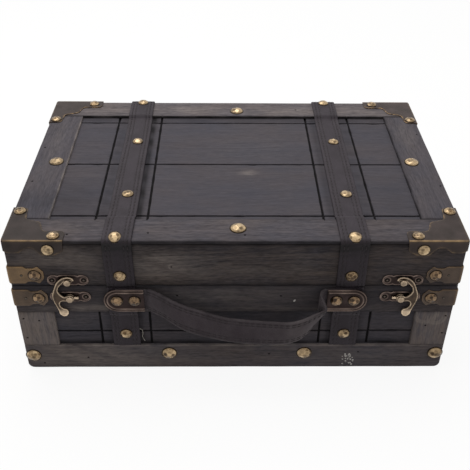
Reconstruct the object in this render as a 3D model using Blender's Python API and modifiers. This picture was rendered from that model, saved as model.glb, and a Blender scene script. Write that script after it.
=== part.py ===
"""A small storage trunk of dark-washed boards with leather straps and bronze fittings.

X runs to the trunk's right, Y to its back and Z up. The origin is the middle of the underside.
The lid opens on two butt hinges at the back, two swing hooks hold it shut at the front,
and a leather handle hangs between two stamped plates.
"""

import math

import bmesh
import bpy
from mathutils import Matrix, Vector

# Boards
TRUNK_WIDTH = 0.340  # along X, over the rails and stiles
TRUNK_DEPTH = 0.226  # along Y
TRUNK_HEIGHT = 0.130  # underside to the top of the lid's rails
LID_HEIGHT = 0.0418  # top of the lid down to the seam
WALL = 0.0080  # wall board and its rail together
FACING = 0.0020  # rails and stiles nailed on the boards
STILE_WIDTH = 0.0285
LID_RAIL_WIDTH = 0.0285
BASE_TOP_RAIL = 0.0265
BASE_BOTTOM_RAIL = 0.0250
LID_PANEL = 0.0045
BOTTOM_BOARD = 0.0050
BOARD_ROUND = 0.0005
GROOVE_WIDTH = 0.0013
GROOVE_DEPTH = 0.0012
GROOVE_FROM_STRAP = 0.0197  # each side of a strap's middle
LID_FRONT_GROOVE = 0.0358  # from the front edge of the lid
LID_BACK_GROOVE = 0.0380  # from the back edge of the lid
BASE_GROOVE = 0.0390  # above the underside

# Clearances
FIT_GAP = 0.0003  # between pieces that touch
SEAM_GAP = 0.0006  # between lid and base
PIN_GAP = 0.0001  # round a hinge pin
EYE_GAP = 0.0003  # round a hook's pivot
SAME_POINT = 0.000002  # points this near are merged

# Leather
STRAP_WIDTH = 0.0220
STRAP_THICKNESS = 0.0015
STRAP_FROM_END = 0.0830  # from the end of the trunk to the middle of a strap
STRAP_BEND = 0.0015  # inside radius where a strap turns over the edge of the lid
STRAP_SLOPE = 0.0030  # run in which a strap drops from a rail to the panel
HANDLE_WIDTH = 0.0210
HANDLE_THICKNESS = 0.0020
TAB_THICKNESS = 0.0015  # the end of the handle, pressed flat under its plate
HANDLE_BULGE = 0.0160  # how far its middle stands out from its ends
HANDLE_DROOP = 0.0240  # how far its middle hangs below its ends
HANDLE_SAMPLES = 4  # between two stations
# The handle as it hangs: percent of its half span, of its bulge and of its droop, and lean in degrees.
# Its top edge leans towards the trunk, but at the right end the band is twisted the other way.
HANDLE_STATIONS = (
    (-100, 0, 0, 0),
    (-96, 2, 0, 0),
    (-86, 30, 0, 5),
    (-67, 72, 26, 12),
    (-40, 96, 57, 20),
    (-6, 100, 86, 15),
    (30, 100, 93, 6),
    (62, 93, 102, 4),
    (78, 82, 96, -14),
    (88, 70, 72, -34),
    (94, 40, 40, -30),
    (98, 5, 6, -6),
    (100, 0, 0, 0),
)

# Domed studs, and where each sits along its strap or plate
STUD_RADIUS = 0.00465
STUD_HEIGHT = 0.0024
BIG_STUD_RADIUS = 0.0059
BIG_STUD_HEIGHT = 0.0030
STUD_SUNK = 0.0004
STUD_STEPS = 12
LID_EDGE_STUD = 0.0045  # from the lid's front and back edges
LID_FRONT_STUD = 0.0108  # above the seam, on the lid's front
LID_STUDS = (0.0635, 0.1490)  # from the front edge, along the top
BASE_STUD = 0.0380  # above the underside
RAIL_END_STUD = 0.0060  # from the end of the front bottom rail
RAIL_MIDDLE_STUD = 0.0305  # from the middle of a strap, inwards
RAIL_STUD_LEVEL = 0.0165
LID_RAIL_STUD = 0.0190  # from the edge of the lid

# Bronze corner plates over the lid's corners
PLATE = 0.0008
CORNER_FRONT_ARM = 0.0440
CORNER_SIDE_ARM = 0.0425
CORNER_ARM_WIDTH = 0.0118
CORNER_LOBE = 0.0235  # reach of the lobe over the joint of rail and stile
CORNER_DIP = 0.0035  # run of the hollow beside the lobe
CORNER_TAPER = 0.0014
CORNER_ROUND = 0.0045
CORNER_FLANGE = 0.0113  # depth of the turned-down edge at the corner
CORNER_TOP_STUD = 0.0080  # from the end of its arm
CORNER_TOP_STUD_IN = 0.0052  # in from the edge
CORNER_FLANGE_STUD = 0.0120  # from the end of the arm
CORNER_FLANGE_STUD_DOWN = 0.0073
# The flange's lower edge round its stud: back from the arm's end, depth, rounding
CORNER_FLANGE_SCALLOP = (
    (0.0000, 0.0098, 0.0050),
    (0.0070, 0.0134, 0.0040),
    (0.0165, 0.0134, 0.0035),
    (0.0210, 0.0065, 0.0040),
    (0.0270, 0.0065, 0.0040),
    (0.0325, CORNER_FLANGE, 0.0040),
)

# Bronze brackets round the upright corners
BRACKET_BAND = 0.0160  # height of the band
BRACKET_REACH = 0.0268
# Upper edge of the band from its shoulder on: along from the corner, in from the band's edge, rounding
BRACKET_EDGE = (
    (0.0122, 0.0000, 0.0012),
    (0.0144, 0.0018, 0.0015),
    (0.0193, 0.0018, 0.0020),
    (0.0228, 0.0000, 0.0006),
    (BRACKET_REACH, 0.0050, 0.0030),
)
BRACKET_STUD = 0.0193
BRACKET_NAIL = 0.0094
NAIL_HOLE = 0.0006
LID_BRACKET_RISE = 0.0107  # seam up to the bracket's middle
BASE_BRACKET_DROP = 0.0117  # seam down to the bracket's middle

# Swing-hook latches
LATCH_FROM_END = 0.0435  # from the end of the trunk to the knob and the pivot
LATCH_PLATE_LENGTH = 0.0315
LATCH_PLATE_HEIGHT = 0.0100
LATCH_HOLE = 0.0010
LATCH_HOLE_FROM_MIDDLE = 0.0119
CATCH_RISE = 0.0060  # seam up to the knob
PIVOT_DROP = 0.0103  # seam down to the pivot
BOSS_HEIGHT = 0.0010
BOSS_RADIUS = 0.0031
PIVOT_RADIUS = 0.0014
KNOB_NECK = 0.0013
LATCH_HEAD = 0.0028
LATCH_HEAD_HEIGHT = 0.0020
HOOK_THICKNESS = 0.0016
HOOK_EYE_RIM = 0.0016
LATCH_WAIST = 0.0008  # how far the plates draw in beside their bosses
SIDE_PEG = 0.0008
SIDE_PEG_LENGTH = 0.0048
# The hook's outline, x towards its back: the tip's outer edge is drawn from the knob,
# the back, the thumb tail and the web beside the eye from the pivot, the mouth from the knob
HOOK_TIP = ((-0.0046, 0.0018), (-0.0041, 0.0028), (-0.0008, 0.0038), (0.0032, 0.0025), (0.0078, -0.0017))
HOOK_BACK = (
    (0.0113, 0.0094),
    (0.0131, 0.0037),
    (0.0128, -0.0020),
    (0.0114, -0.0070),
    (0.0100, -0.0116),
    (0.0094, -0.0152),
    (0.0068, -0.0177),
    (0.0034, -0.0166),
    (0.0022, -0.0134),
    (0.0032, -0.0106),
    (0.0060, -0.0094),
    (0.0078, -0.0070),
    (0.0078, -0.0042),
    (0.0058, -0.0024),
)
HOOK_WEB = ((0.0040, 0.0020), (0.0064, 0.0040), (0.0080, 0.0072))
HOOK_MOUTH = ((0.0074, -0.0058), (0.0056, -0.0030), (0.0034, -0.0008), (0.0021, 0.0008))
HOOK_LIP = 14  # degrees of arc in the lip over the knob

# Handle plates
HANDLE_PLATE_IN = 0.0170  # from the middle of a strap to the plate's square end
HANDLE_PLATE_LENGTH = 0.0310
HANDLE_PLATE_HEIGHT = 0.0218
HANDLE_PLATE_ROUND = 0.0006  # at the square end
HANDLE_DROP = 0.0115  # seam down to the middle of the plates
HANDLE_RIM_INSET = 0.0018
HANDLE_RIM_WIDTH = 0.0013
HANDLE_RIM_HEIGHT = 0.0007
HANDLE_STUDS = (0.0072, 0.0207)  # from the square end

# Butt hinges
HINGE_IN = 0.0320  # from the middle of a strap to the middle of a hinge
HINGE_WIDTH = 0.0250
HINGE_LEAF = 0.0140
HINGE_SHEET = 0.0009
KNUCKLE_RADIUS = 0.0022
PIN_RADIUS = 0.0012
HINGE_HOLE = 0.0012
HINGE_HOLE_FROM_MIDDLE = 0.0078
HINGE_HOLE_UP = 0.0084
HINGE_ROUND = 0.0020

# Finishes: colour, roughness, metallic
FINISHES = {
    "washed wood": ((0.052, 0.049, 0.052), 0.72, 0.0),
    "raw wood": ((0.036, 0.032, 0.030), 0.80, 0.0),
    "leather": ((0.030, 0.024, 0.027), 0.55, 0.0),
    "bronze": ((0.120, 0.088, 0.060), 0.45, 0.9),
    "old brass": ((0.420, 0.300, 0.140), 0.32, 1.0),
}

half_x = TRUNK_WIDTH / 2
half_y = TRUNK_DEPTH / 2
seam = TRUNK_HEIGHT - LID_HEIGHT
strap_x = half_x - STRAP_FROM_END
latch_x = half_x - LATCH_FROM_END
catch_level = seam + CATCH_RISE
pivot_level = seam - PIVOT_DROP
handle_level = seam - HANDLE_DROP
handle_x = strap_x - HANDLE_PLATE_IN
hinge_x = strap_x - HINGE_IN
base_top = seam - SEAM_GAP / 2
lid_bottom = seam + SEAM_GAP / 2
recess = FACING + FIT_GAP  # how far a panel lies behind the rails
inner_x = half_x - WALL
inner_y = half_y - WALL
strap_face = FIT_GAP + STRAP_THICKNESS
tab_face = strap_face + FIT_GAP + TAB_THICKNESS
handle_plate_back = tab_face + FIT_GAP
handle_out = strap_face + FIT_GAP + TAB_THICKNESS / 2
hinge_out = FIT_GAP + KNUCKLE_RADIUS

for leftover in list(bpy.data.objects):
    bpy.data.objects.remove(leftover)

trunk = bpy.data.collections.new("trunk")
helpers = bpy.data.collections.new("cutters and inlays")
bpy.context.scene.collection.children.link(trunk)
bpy.context.scene.collection.children.link(helpers)


def add_piece(name, mesh, finish):
    """One named piece of the trunk, with its own material."""
    colour, roughness, metallic = FINISHES[finish]
    material = bpy.data.materials.new(f"{name} {finish}")
    material.use_nodes = True
    shader = material.node_tree.nodes["Principled BSDF"]
    shader.inputs["Base Color"].default_value = (*colour, 1)
    shader.inputs["Roughness"].default_value = roughness
    shader.inputs["Metallic"].default_value = metallic
    mesh.materials.clear()
    mesh.materials.append(material)
    piece = bpy.data.objects.new(name, mesh)
    trunk.objects.link(piece)
    return piece


def add_helper(name, mesh):
    """A cutter or an inlay, which the render leaves out."""
    helper = bpy.data.objects.new(name, mesh)
    helpers.objects.link(helper)
    helper.hide_render = True
    helper.display_type = "WIRE"
    return helper


def combine(piece, mesh, operation):
    """Cuts the mesh from the piece, or joins it on."""
    helper = add_helper(f"{piece.name} {operation.lower()}", mesh)
    boolean = piece.modifiers.new(operation.title(), "BOOLEAN")
    boolean.operation = operation
    boolean.object = helper
    return piece


def shade_round(mesh):
    mesh.shade_smooth()
    mesh.set_sharp_from_angle(angle=math.radians(35))


def mesh_of(shape, name):
    """The mesh of a finished bmesh, which is freed."""
    mesh = bpy.data.meshes.new(name)
    bmesh.ops.recalc_face_normals(shape, faces=shape.faces)
    shape.to_mesh(mesh)
    shape.free()
    return mesh


def joined(meshes, name):
    """Several meshes as one."""
    shape = bmesh.new()
    for mesh in meshes:
        shape.from_mesh(mesh)
        bpy.data.meshes.remove(mesh)
    mesh = bpy.data.meshes.new(name)
    shape.to_mesh(mesh)
    shape.free()
    return mesh


def moved(mesh, matrix):
    """A copy of a mesh put in its place; a mirrored one is turned right way out."""
    copy = mesh.copy()
    copy.transform(matrix)
    if matrix.determinant() < 0:
        copy.flip_normals()
    return copy


def box(low, high):
    """A box mesh between two corners, given in any order."""
    size = Vector(abs(b - a) for a, b in zip(low, high))
    middle = (Vector(low) + Vector(high)) / 2
    shape = bmesh.new()
    bmesh.ops.create_cube(shape, size=1, matrix=Matrix.Translation(middle) @ Matrix.Diagonal((*size, 1)))
    return mesh_of(shape, "box")


def rod(radius, length, steps):
    """An upright cylinder standing on the origin."""
    shape = bmesh.new()
    bmesh.ops.create_cone(
        shape, cap_ends=True, segments=steps, radius1=radius, radius2=radius, depth=length,
        matrix=Matrix.Translation((0, 0, length / 2)),
    )
    return mesh_of(shape, "rod")


def turned(profile, steps):
    """A solid of revolution about Z. The profile runs down its outer side, top to bottom."""
    outline = bpy.data.meshes.new("profile")
    outline.from_pydata(
        [(radius, 0, height) for radius, height in profile],
        [(i, i + 1) for i in range(len(profile) - 1)],
        [],
    )
    holder = add_helper("profile", outline)
    screw = holder.modifiers.new("Screw", "SCREW")
    screw.steps = steps
    screw.render_steps = steps
    screw.use_merge_vertices = True
    screw.merge_threshold = SAME_POINT
    mesh = evaluated_mesh(holder)
    bpy.data.objects.remove(holder)
    return mesh


def evaluated_mesh(holder):
    """What an object looks like with its modifiers or its curve worked out, as a closed mesh."""
    bpy.context.view_layer.update()
    graph = bpy.context.evaluated_depsgraph_get()
    mesh = bpy.data.meshes.new_from_object(holder.evaluated_get(graph))
    shape = bmesh.new()
    shape.from_mesh(mesh)
    bmesh.ops.remove_doubles(shape, verts=shape.verts, dist=SAME_POINT)
    bpy.data.meshes.remove(mesh)
    return mesh_of(shape, "worked out")


def rounded(corners, steps=4):
    """An outline whose corners (x, y, radius) are rounded with arcs."""
    points = []
    for i, (x, y, radius) in enumerate(corners):
        corner = Vector((x, y))
        before = Vector(corners[i - 1][:2]) - corner
        after = Vector(corners[(i + 1) % len(corners)][:2]) - corner
        if radius == 0:
            points.append(corner)
            continue
        half_angle = before.angle(after) / 2
        reach = min(radius / math.tan(half_angle), 0.49 * before.length, 0.49 * after.length)
        start = corner + before.normalized() * reach
        end = corner + after.normalized() * reach
        for step in range(steps + 1):
            share = step / steps
            points.append(
                start * (1 - share) ** 2 + corner * 2 * share * (1 - share) + end * share**2
            )
    return [(point.x, point.y) for point in points]


def smooth(points, samples):
    """Points on a smooth open curve through the given ones (Catmull-Rom)."""
    last = len(points) - 1
    curve = []
    for span in range(last):
        before, start, end, after = [
            Vector(points[min(max(span + i, 0), last)]) for i in (-1, 0, 1, 2)
        ]
        for step in range(samples):
            share = step / samples
            curve.append(
                start
                + (end - before) * share / 2
                + (2 * before - 5 * start + 4 * end - after) * share**2 / 2
                + (3 * start - before - 3 * end + after) * share**3 / 2
            )
    return curve + [Vector(points[last])]


def circle(radius, middle=(0, 0), steps=12):
    """A round outline."""
    return [
        (
            middle[0] + radius * math.cos(2 * math.pi * step / steps),
            middle[1] + radius * math.sin(2 * math.pi * step / steps),
        )
        for step in range(steps)
    ]


def sheet(outlines, thickness):
    """Sheet metal cut to the first outline, with the others as holes, from z = 0 upwards."""
    curve = bpy.data.curves.new("sheet", "CURVE")
    curve.dimensions = "2D"
    curve.fill_mode = "BOTH"
    curve.extrude = thickness / 2
    for points in outlines:
        spline = curve.splines.new("POLY")
        spline.points.add(len(points) - 1)
        for point, (x, y) in zip(spline.points, points):
            point.co = (x, y, 0, 1)
        spline.use_cyclic_u = True
    holder = add_helper("sheet", curve)
    mesh = evaluated_mesh(holder)
    bpy.data.objects.remove(holder)
    bpy.data.curves.remove(curve)
    mesh.transform(Matrix.Translation((0, 0, thickness / 2)))
    return mesh


def facing_out(origin, right, up):
    """Puts a flat drawing on a wall: its x runs to the right, its y up and its z out of the wall."""
    right = Vector(right)
    up = Vector(up)
    out = right.cross(up)
    turn = Matrix((right, up, out)).transposed().to_4x4()
    return Matrix.Translation(origin) @ turn


def on_front(x, z, out):
    return facing_out((x, -half_y - out, z), (1, 0, 0), (0, 0, 1))


def on_back(x, z, out):
    return facing_out((x, half_y + out, z), (-1, 0, 0), (0, 0, 1))


def stud_mesh(radius, height):
    """A domed head, a little flattened, with a foot to sink in what it holds down."""
    dome = [
        (radius * math.sin(angle), height * math.cos(angle))
        for angle in (0, math.radians(45), math.radians(90))
    ]
    return turned(dome + [(radius, -STUD_SUNK), (0, -STUD_SUNK)], STUD_STEPS)


small_stud = stud_mesh(STUD_RADIUS, STUD_HEIGHT)
big_stud = stud_mesh(BIG_STUD_RADIUS, BIG_STUD_HEIGHT)


def wall_box(side, along, out, level):
    """A box on one wall. Along runs with X or Y, out is measured outwards from the wall's face."""
    if side == "front":
        low, high = (along[0], -half_y - out[0]), (along[1], -half_y - out[1])
    elif side == "back":
        low, high = (along[0], half_y + out[0]), (along[1], half_y + out[1])
    elif side == "left":
        low, high = (-half_x - out[0], along[0]), (-half_x - out[1], along[1])
    else:
        low, high = (half_x + out[0], along[0]), (half_x + out[1], along[1])
    return box((*low, level[0]), (*high, level[1]))


def board(name, mesh, finish="washed wood"):
    """A board with its edges eased."""
    piece = add_piece(name, mesh, finish)
    bevel = piece.modifiers.new("Eased edges", "BEVEL")
    bevel.width = BOARD_ROUND
    bevel.segments = 1
    return piece


def upright_grooves(side, level, half_height):
    """Grooves beside the straps, cut upright in a wall panel."""
    half = GROOVE_WIDTH / 2
    places = [
        strap_side * strap_x + groove_side * GROOVE_FROM_STRAP
        for strap_side in (-1, 1)
        for groove_side in (-1, 1)
    ]
    return joined(
        [
            wall_box(
                side,
                (place - half, place + half),
                (-recess - GROOVE_DEPTH, -recess + GROOVE_DEPTH),
                (level - half_height, level + half_height),
            )
            for place in places
        ],
        "upright grooves",
    )


def make_base_walls():
    """Four grooved panels with their rails and stiles, and the bottom board."""
    long_wall = (half_x - recess, half_x)
    short_wall = (inner_y - FIT_GAP, half_y - FACING - FIT_GAP)
    spans = {"front": long_wall, "back": long_wall, "left": short_wall, "right": short_wall}
    stile_low = BASE_BOTTOM_RAIL + FIT_GAP
    stile_high = base_top - BASE_TOP_RAIL - FIT_GAP
    opening_middle = (stile_low + stile_high) / 2
    for side, (panel_half, rail_half) in spans.items():
        panel = board(
            f"base_{side}_panel",
            wall_box(side, (-panel_half, panel_half), (-WALL, -recess), (0, base_top)),
        )
        rails = {"bottom": (0, BASE_BOTTOM_RAIL), "top": (base_top - BASE_TOP_RAIL, base_top)}
        for rail, level in rails.items():
            piece = board(
                f"base_{side}_{rail}_rail",
                wall_box(side, (-rail_half, rail_half), (-FACING, 0), level),
            )
            if (side, rail) == ("front", "bottom"):
                places = [
                    sign * place
                    for sign in (-1, 1)
                    for place in (strap_x - RAIL_MIDDLE_STUD, half_x - RAIL_END_STUD)
                ]
                add_studs(piece, [on_front(x, RAIL_STUD_LEVEL, 0) for x in places], big_stud)
        stile_reach = half_y if side in ("left", "right") else half_x
        stile_start = stile_reach - STILE_WIDTH
        level = (stile_low, stile_high)
        stiles = [
            wall_box(side, (sign * stile_start, sign * rail_half), (-FACING, 0), level) for sign in (-1, 1)
        ]
        if side == "front":
            board("base_front_left_stile", stiles[0])
            board("base_front_right_stile", stiles[1])
        else:
            beds = [
                wall_box(
                    side,
                    (sign * (stile_start + BOARD_ROUND), sign * (panel_half - BOARD_ROUND)),
                    (-recess - STUD_SUNK, -FACING / 2),
                    (stile_low + BOARD_ROUND, stile_high - BOARD_ROUND),
                )
                for sign in (-1, 1)
            ]
            combine(panel, joined(beds, "beds"), "UNION")
            combine(panel, joined(stiles, "stiles"), "UNION")
        half = GROOVE_WIDTH / 2
        groove_half = stile_start - BOARD_ROUND
        lengthwise = wall_box(
            side,
            (-groove_half, groove_half),
            (-recess - GROOVE_DEPTH, -recess + GROOVE_DEPTH),
            (BASE_GROOVE - half, BASE_GROOVE + half),
        )
        combine(panel, lengthwise, "DIFFERENCE")
        if side in ("front", "back"):
            half_height = (stile_high - stile_low) / 2 + FIT_GAP - BOARD_ROUND
            combine(panel, upright_grooves(side, opening_middle, half_height), "DIFFERENCE")
    board(
        "bottom_board",
        box(
            (-inner_x + FIT_GAP, -inner_y + FIT_GAP, 0),
            (inner_x - FIT_GAP, inner_y - FIT_GAP, BOTTOM_BOARD),
        ),
        "raw wood",
    )


def add_studs(piece, places, stud):
    """Joins a stud on at each place, its foot sunk in the piece."""
    return combine(piece, joined([moved(stud, place) for place in places], "studs"), "UNION")


def make_lid_boards():
    """The lid's walls, its grooved top panel and the rails and stiles on it."""
    wall_top = TRUNK_HEIGHT - recess
    panel_low = wall_top - LID_PANEL
    level = (lid_bottom, wall_top)
    board("lid_front_board", wall_box("front", (-half_x, half_x), (-WALL, 0), level))
    board("lid_back_board", wall_box("back", (-half_x, half_x), (-WALL, 0), level))
    side_half = inner_y - FIT_GAP
    for side in ("left", "right"):
        board(f"lid_{side}_board", wall_box(side, (-side_half, side_half), (-WALL, 0), level))
    panel_x = inner_x - FIT_GAP
    panel_y = inner_y - FIT_GAP
    panel = board("lid_top_panel", box((-panel_x, -panel_y, panel_low), (panel_x, panel_y, wall_top)))
    half = GROOVE_WIDTH / 2
    groove_x = half_x - STILE_WIDTH - BOARD_ROUND
    lengthwise = [
        box((-groove_x, y - half, wall_top - GROOVE_DEPTH), (groove_x, y + half, wall_top + GROOVE_DEPTH))
        for y in (-half_y + LID_FRONT_GROOVE, 0, half_y - LID_BACK_GROOVE)
    ]
    combine(panel, joined(lengthwise, "lengthwise grooves"), "DIFFERENCE")
    groove_y = half_y - LID_RAIL_WIDTH - BOARD_ROUND
    crosswise = [
        box((x - half, -groove_y, wall_top - GROOVE_DEPTH), (x + half, groove_y, wall_top + GROOVE_DEPTH))
        for strap_side in (-1, 1)
        for x in (
            strap_side * strap_x - GROOVE_FROM_STRAP,
            strap_side * strap_x + GROOVE_FROM_STRAP,
        )
    ]
    combine(panel, joined(crosswise, "crosswise grooves"), "DIFFERENCE")
    for side, sign in (("front", -1), ("back", 1)):
        rail = board(
            f"lid_top_{side}_rail",
            box(
                (-half_x, sign * (half_y - LID_RAIL_WIDTH), TRUNK_HEIGHT - FACING),
                (half_x, sign * half_y, TRUNK_HEIGHT),
            ),
        )
        add_studs(rail, [Matrix.Translation((0, sign * (half_y - LID_RAIL_STUD), TRUNK_HEIGHT))], big_stud)
    stile_y = half_y - LID_RAIL_WIDTH - FIT_GAP
    for side, sign in (("left", -1), ("right", 1)):
        stile = board(
            f"lid_top_{side}_stile",
            box(
                (sign * (half_x - STILE_WIDTH), -stile_y, TRUNK_HEIGHT - FACING),
                (sign * half_x, stile_y, TRUNK_HEIGHT),
            ),
        )
        add_studs(stile, [Matrix.Translation((sign * (half_x - LID_RAIL_STUD), 0, TRUNK_HEIGHT))], big_stud)


def ribbon(name, path, middle_x, thickness, width):
    """A leather strap laid along a path of (y, z) points, its thickness to the left of the path."""
    shape = bmesh.new()
    rows = [
        [shape.verts.new((middle_x + side * width / 2, y, z)) for side in (-1, 1)] for y, z in path
    ]
    for first, second in zip(rows, rows[1:]):
        shape.faces.new((first[0], first[1], second[1], second[0]))
    mesh = bpy.data.meshes.new(name)
    shape.to_mesh(mesh)
    shape.free()
    piece = add_piece(name, mesh, "leather")
    wall = piece.modifiers.new("Thickness", "SOLIDIFY")
    wall.thickness = thickness
    wall.offset = 1
    wall.use_even_offset = True
    return piece


def bent_path(corners, radius, steps=3):
    """A path whose inner corners are rounded, as leather turns over an edge."""
    path = rounded([(*corner, radius) for corner in corners], steps)
    return [corners[0]] + path[steps + 1 : -(steps + 1)] + [corners[-1]]


def make_straps():
    """Each strap runs up the lid's front, over its top and down its back; shorter ones go on below."""
    lid_in = half_y + FIT_GAP
    high = TRUNK_HEIGHT + FIT_GAP
    low = TRUNK_HEIGHT - recess + FIT_GAP
    front_rail_end = -half_y + LID_RAIL_WIDTH + FIT_GAP
    back_rail_end = half_y - LID_RAIL_WIDTH - FIT_GAP
    over_lid = [
        (-lid_in, lid_bottom + FIT_GAP),
        (-lid_in, high),
        (front_rail_end, high),
        (front_rail_end + STRAP_SLOPE, low),
        (back_rail_end - STRAP_SLOPE, low),
        (back_rail_end, high),
        (lid_in, high),
        (lid_in, lid_bottom + FIT_GAP),
    ]
    rail_end = base_top - BASE_TOP_RAIL - FIT_GAP
    panel_face = -half_y + recess - FIT_GAP
    down_base = [
        (panel_face, BASE_BOTTOM_RAIL + FIT_GAP),
        (panel_face, rail_end - STRAP_SLOPE),
        (-lid_in, rail_end),
        (-lid_in, base_top - FIT_GAP),
    ]
    for side, sign in (("left", -1), ("right", 1)):
        x = sign * strap_x
        top_face = TRUNK_HEIGHT + strap_face
        panel_top = TRUNK_HEIGHT - recess + strap_face
        lid_strap = ribbon(
            f"lid_{side}_strap", bent_path(over_lid, STRAP_BEND), x, STRAP_THICKNESS, STRAP_WIDTH
        )
        places = [
            on_front(x, seam + LID_FRONT_STUD, strap_face),
            Matrix.Translation((x, -half_y + LID_EDGE_STUD, top_face)),
            Matrix.Translation((x, half_y - LID_EDGE_STUD, top_face)),
        ] + [Matrix.Translation((x, -half_y + place, panel_top)) for place in LID_STUDS]
        add_studs(lid_strap, places, small_stud)
        front = ribbon(
            f"base_front_{side}_strap", bent_path(down_base, STRAP_BEND), x, STRAP_THICKNESS, STRAP_WIDTH
        )
        panel_out = -recess + strap_face
        add_studs(front, [on_front(x, BASE_STUD, panel_out)], small_stud)
        down_back = [(-y, z) for y, z in reversed(down_base)]
        back = ribbon(
            f"base_back_{side}_strap", bent_path(down_back, STRAP_BEND), x, STRAP_THICKNESS, STRAP_WIDTH
        )
        add_studs(back, [on_back(x, BASE_STUD, panel_out)], small_stud)


def corner_flange(arm, start, top):
    """One turned-down side of a corner plate: deep at the corner, waisted, deep again at its stud."""
    scallop = [(arm - back, -depth, radius) for back, depth, radius in CORNER_FLANGE_SCALLOP]
    return rounded(
        [(start, top, 0), (arm, top, 0)]
        + scallop
        + [(CORNER_FLANGE / 3, -CORNER_FLANGE, CORNER_FLANGE / 5), (start, -CORNER_FLANGE * 3 / 4, 0)],
        3,
    )


def corner_plate_mesh():
    """A stamped plate over the lid's front left corner, whose outer edges meet at the origin."""
    edge = FIT_GAP + PLATE
    half_sheet = FIT_GAP + PLATE / 2
    outline = [
        (-edge, -edge, 0),
        (CORNER_FRONT_ARM, -edge, 0),
        (CORNER_FRONT_ARM, CORNER_ARM_WIDTH, CORNER_ROUND),
        (CORNER_LOBE + CORNER_DIP, CORNER_ARM_WIDTH, CORNER_ROUND),
        (CORNER_LOBE, CORNER_LOBE, CORNER_ROUND),
        (CORNER_ARM_WIDTH, CORNER_LOBE + CORNER_DIP, CORNER_ROUND),
        (CORNER_ARM_WIDTH - CORNER_TAPER, CORNER_SIDE_ARM, CORNER_ROUND),
        (-edge, CORNER_SIDE_ARM, 0),
    ]
    top = sheet([rounded(outline)], PLATE)
    top.transform(Matrix.Translation((0, 0, FIT_GAP)))
    front = sheet([corner_flange(CORNER_FRONT_ARM, -edge, half_sheet)], PLATE)
    front.transform(facing_out((0, -FIT_GAP, 0), (1, 0, 0), (0, 0, 1)))
    side_outline = corner_flange(CORNER_SIDE_ARM, -half_sheet, half_sheet)
    side = sheet([[(-x, y) for x, y in reversed(side_outline)]], PLATE)
    side.transform(facing_out((-FIT_GAP, 0, 0), (0, -1, 0), (0, 0, 1)))
    places = [
        Matrix.Translation((CORNER_FRONT_ARM - CORNER_TOP_STUD, CORNER_TOP_STUD_IN, edge)),
        Matrix.Translation((CORNER_TOP_STUD_IN, CORNER_SIDE_ARM - CORNER_TOP_STUD_IN, edge)),
        facing_out(
            (CORNER_FRONT_ARM - CORNER_FLANGE_STUD, -edge, -CORNER_FLANGE_STUD_DOWN), (1, 0, 0), (0, 0, 1)
        ),
        facing_out(
            (-edge, CORNER_SIDE_ARM - CORNER_FLANGE_STUD, -CORNER_FLANGE_STUD_DOWN), (0, -1, 0), (0, 0, 1)
        ),
    ]
    return united([top, front, side, joined([moved(small_stud, place) for place in places], "studs")])


def united(meshes, holes=None):
    """Overlapping meshes as one closed skin, with any holes cut through."""
    holder = add_helper("united", meshes[0])
    added = [combine(holder, mesh, "UNION") and holder.modifiers[-1].object for mesh in meshes[1:]]
    if holes:
        combine(holder, holes, "DIFFERENCE")
        added.append(holder.modifiers[-1].object)
    mesh = evaluated_mesh(holder)
    for helper in added + [holder]:
        bpy.data.objects.remove(helper)
    return mesh


def bracket_mesh():
    """A bracket bent round the front left corner: a band each way, ending in an eared head."""
    edge = FIT_GAP + PLATE
    half_band = BRACKET_BAND / 2

    def outline(start):
        upper = [(x, half_band - inset, radius) for x, inset, radius in BRACKET_EDGE]
        lower = [(x, -y, radius) for x, y, radius in reversed(upper)]
        return rounded([(start, half_band, 0)] + upper + lower + [(start, -half_band, 0)], 3)

    front = sheet([outline(-edge), circle(NAIL_HOLE, (BRACKET_NAIL, 0), 8)], PLATE)
    front.transform(facing_out((0, -FIT_GAP, 0), (1, 0, 0), (0, 0, 1)))
    side_outline = [(-x, y) for x, y in reversed(outline(-FIT_GAP - PLATE / 2))]
    side = sheet([side_outline, circle(NAIL_HOLE, (-BRACKET_NAIL, 0), 8)], PLATE)
    side.transform(facing_out((-FIT_GAP, 0, 0), (0, -1, 0), (0, 0, 1)))
    places = [
        facing_out((BRACKET_STUD, -edge, 0), (1, 0, 0), (0, 0, 1)),
        facing_out((-edge, BRACKET_STUD, 0), (0, -1, 0), (0, 0, 1)),
    ]
    return united([front, side, joined([moved(small_stud, place) for place in places], "studs")])


def make_corner_fittings():
    """Corner plates and brackets, mirrored from the front left corner to the other three."""
    plate = corner_plate_mesh()
    bracket = bracket_mesh()
    for end, sign_y in (("front", 1), ("back", -1)):
        for side, sign_x in (("left", 1), ("right", -1)):
            mirror = Matrix.Diagonal((sign_x, sign_y, 1, 1))
            corner = (-sign_x * half_x, -sign_y * half_y)
            levels = {
                "lid_{}_{}_corner_plate": (plate, TRUNK_HEIGHT),
                "lid_{}_{}_bracket": (bracket, seam + LID_BRACKET_RISE),
                "base_{}_{}_bracket": (bracket, seam - BASE_BRACKET_DROP),
            }
            for pattern, (mesh, level) in levels.items():
                placed = moved(mesh, Matrix.Translation((*corner, level)) @ mirror)
                shade_round(placed)
                add_piece(pattern.format(end, side), placed, "bronze")


def latch_outline():
    """A plate with round ends that draws in on both sides of its boss."""
    half_length = LATCH_PLATE_LENGTH / 2
    half_height = LATCH_PLATE_HEIGHT / 2
    waist_middle = (BOSS_RADIUS + LATCH_HOLE_FROM_MIDDLE) / 2
    quarter = [
        (half_length, half_height, half_height),
        (waist_middle + LATCH_WAIST * 2, half_height, LATCH_WAIST * 2),
        (waist_middle, half_height - LATCH_WAIST, LATCH_WAIST),
        (waist_middle - LATCH_WAIST * 2, half_height, LATCH_WAIST * 2),
    ]
    right = [(x, -y, radius) for x, y, radius in reversed(quarter)] + quarter
    left = [(-x, -y, radius) for x, y, radius in right]
    return rounded(right + left, 3)


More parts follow.
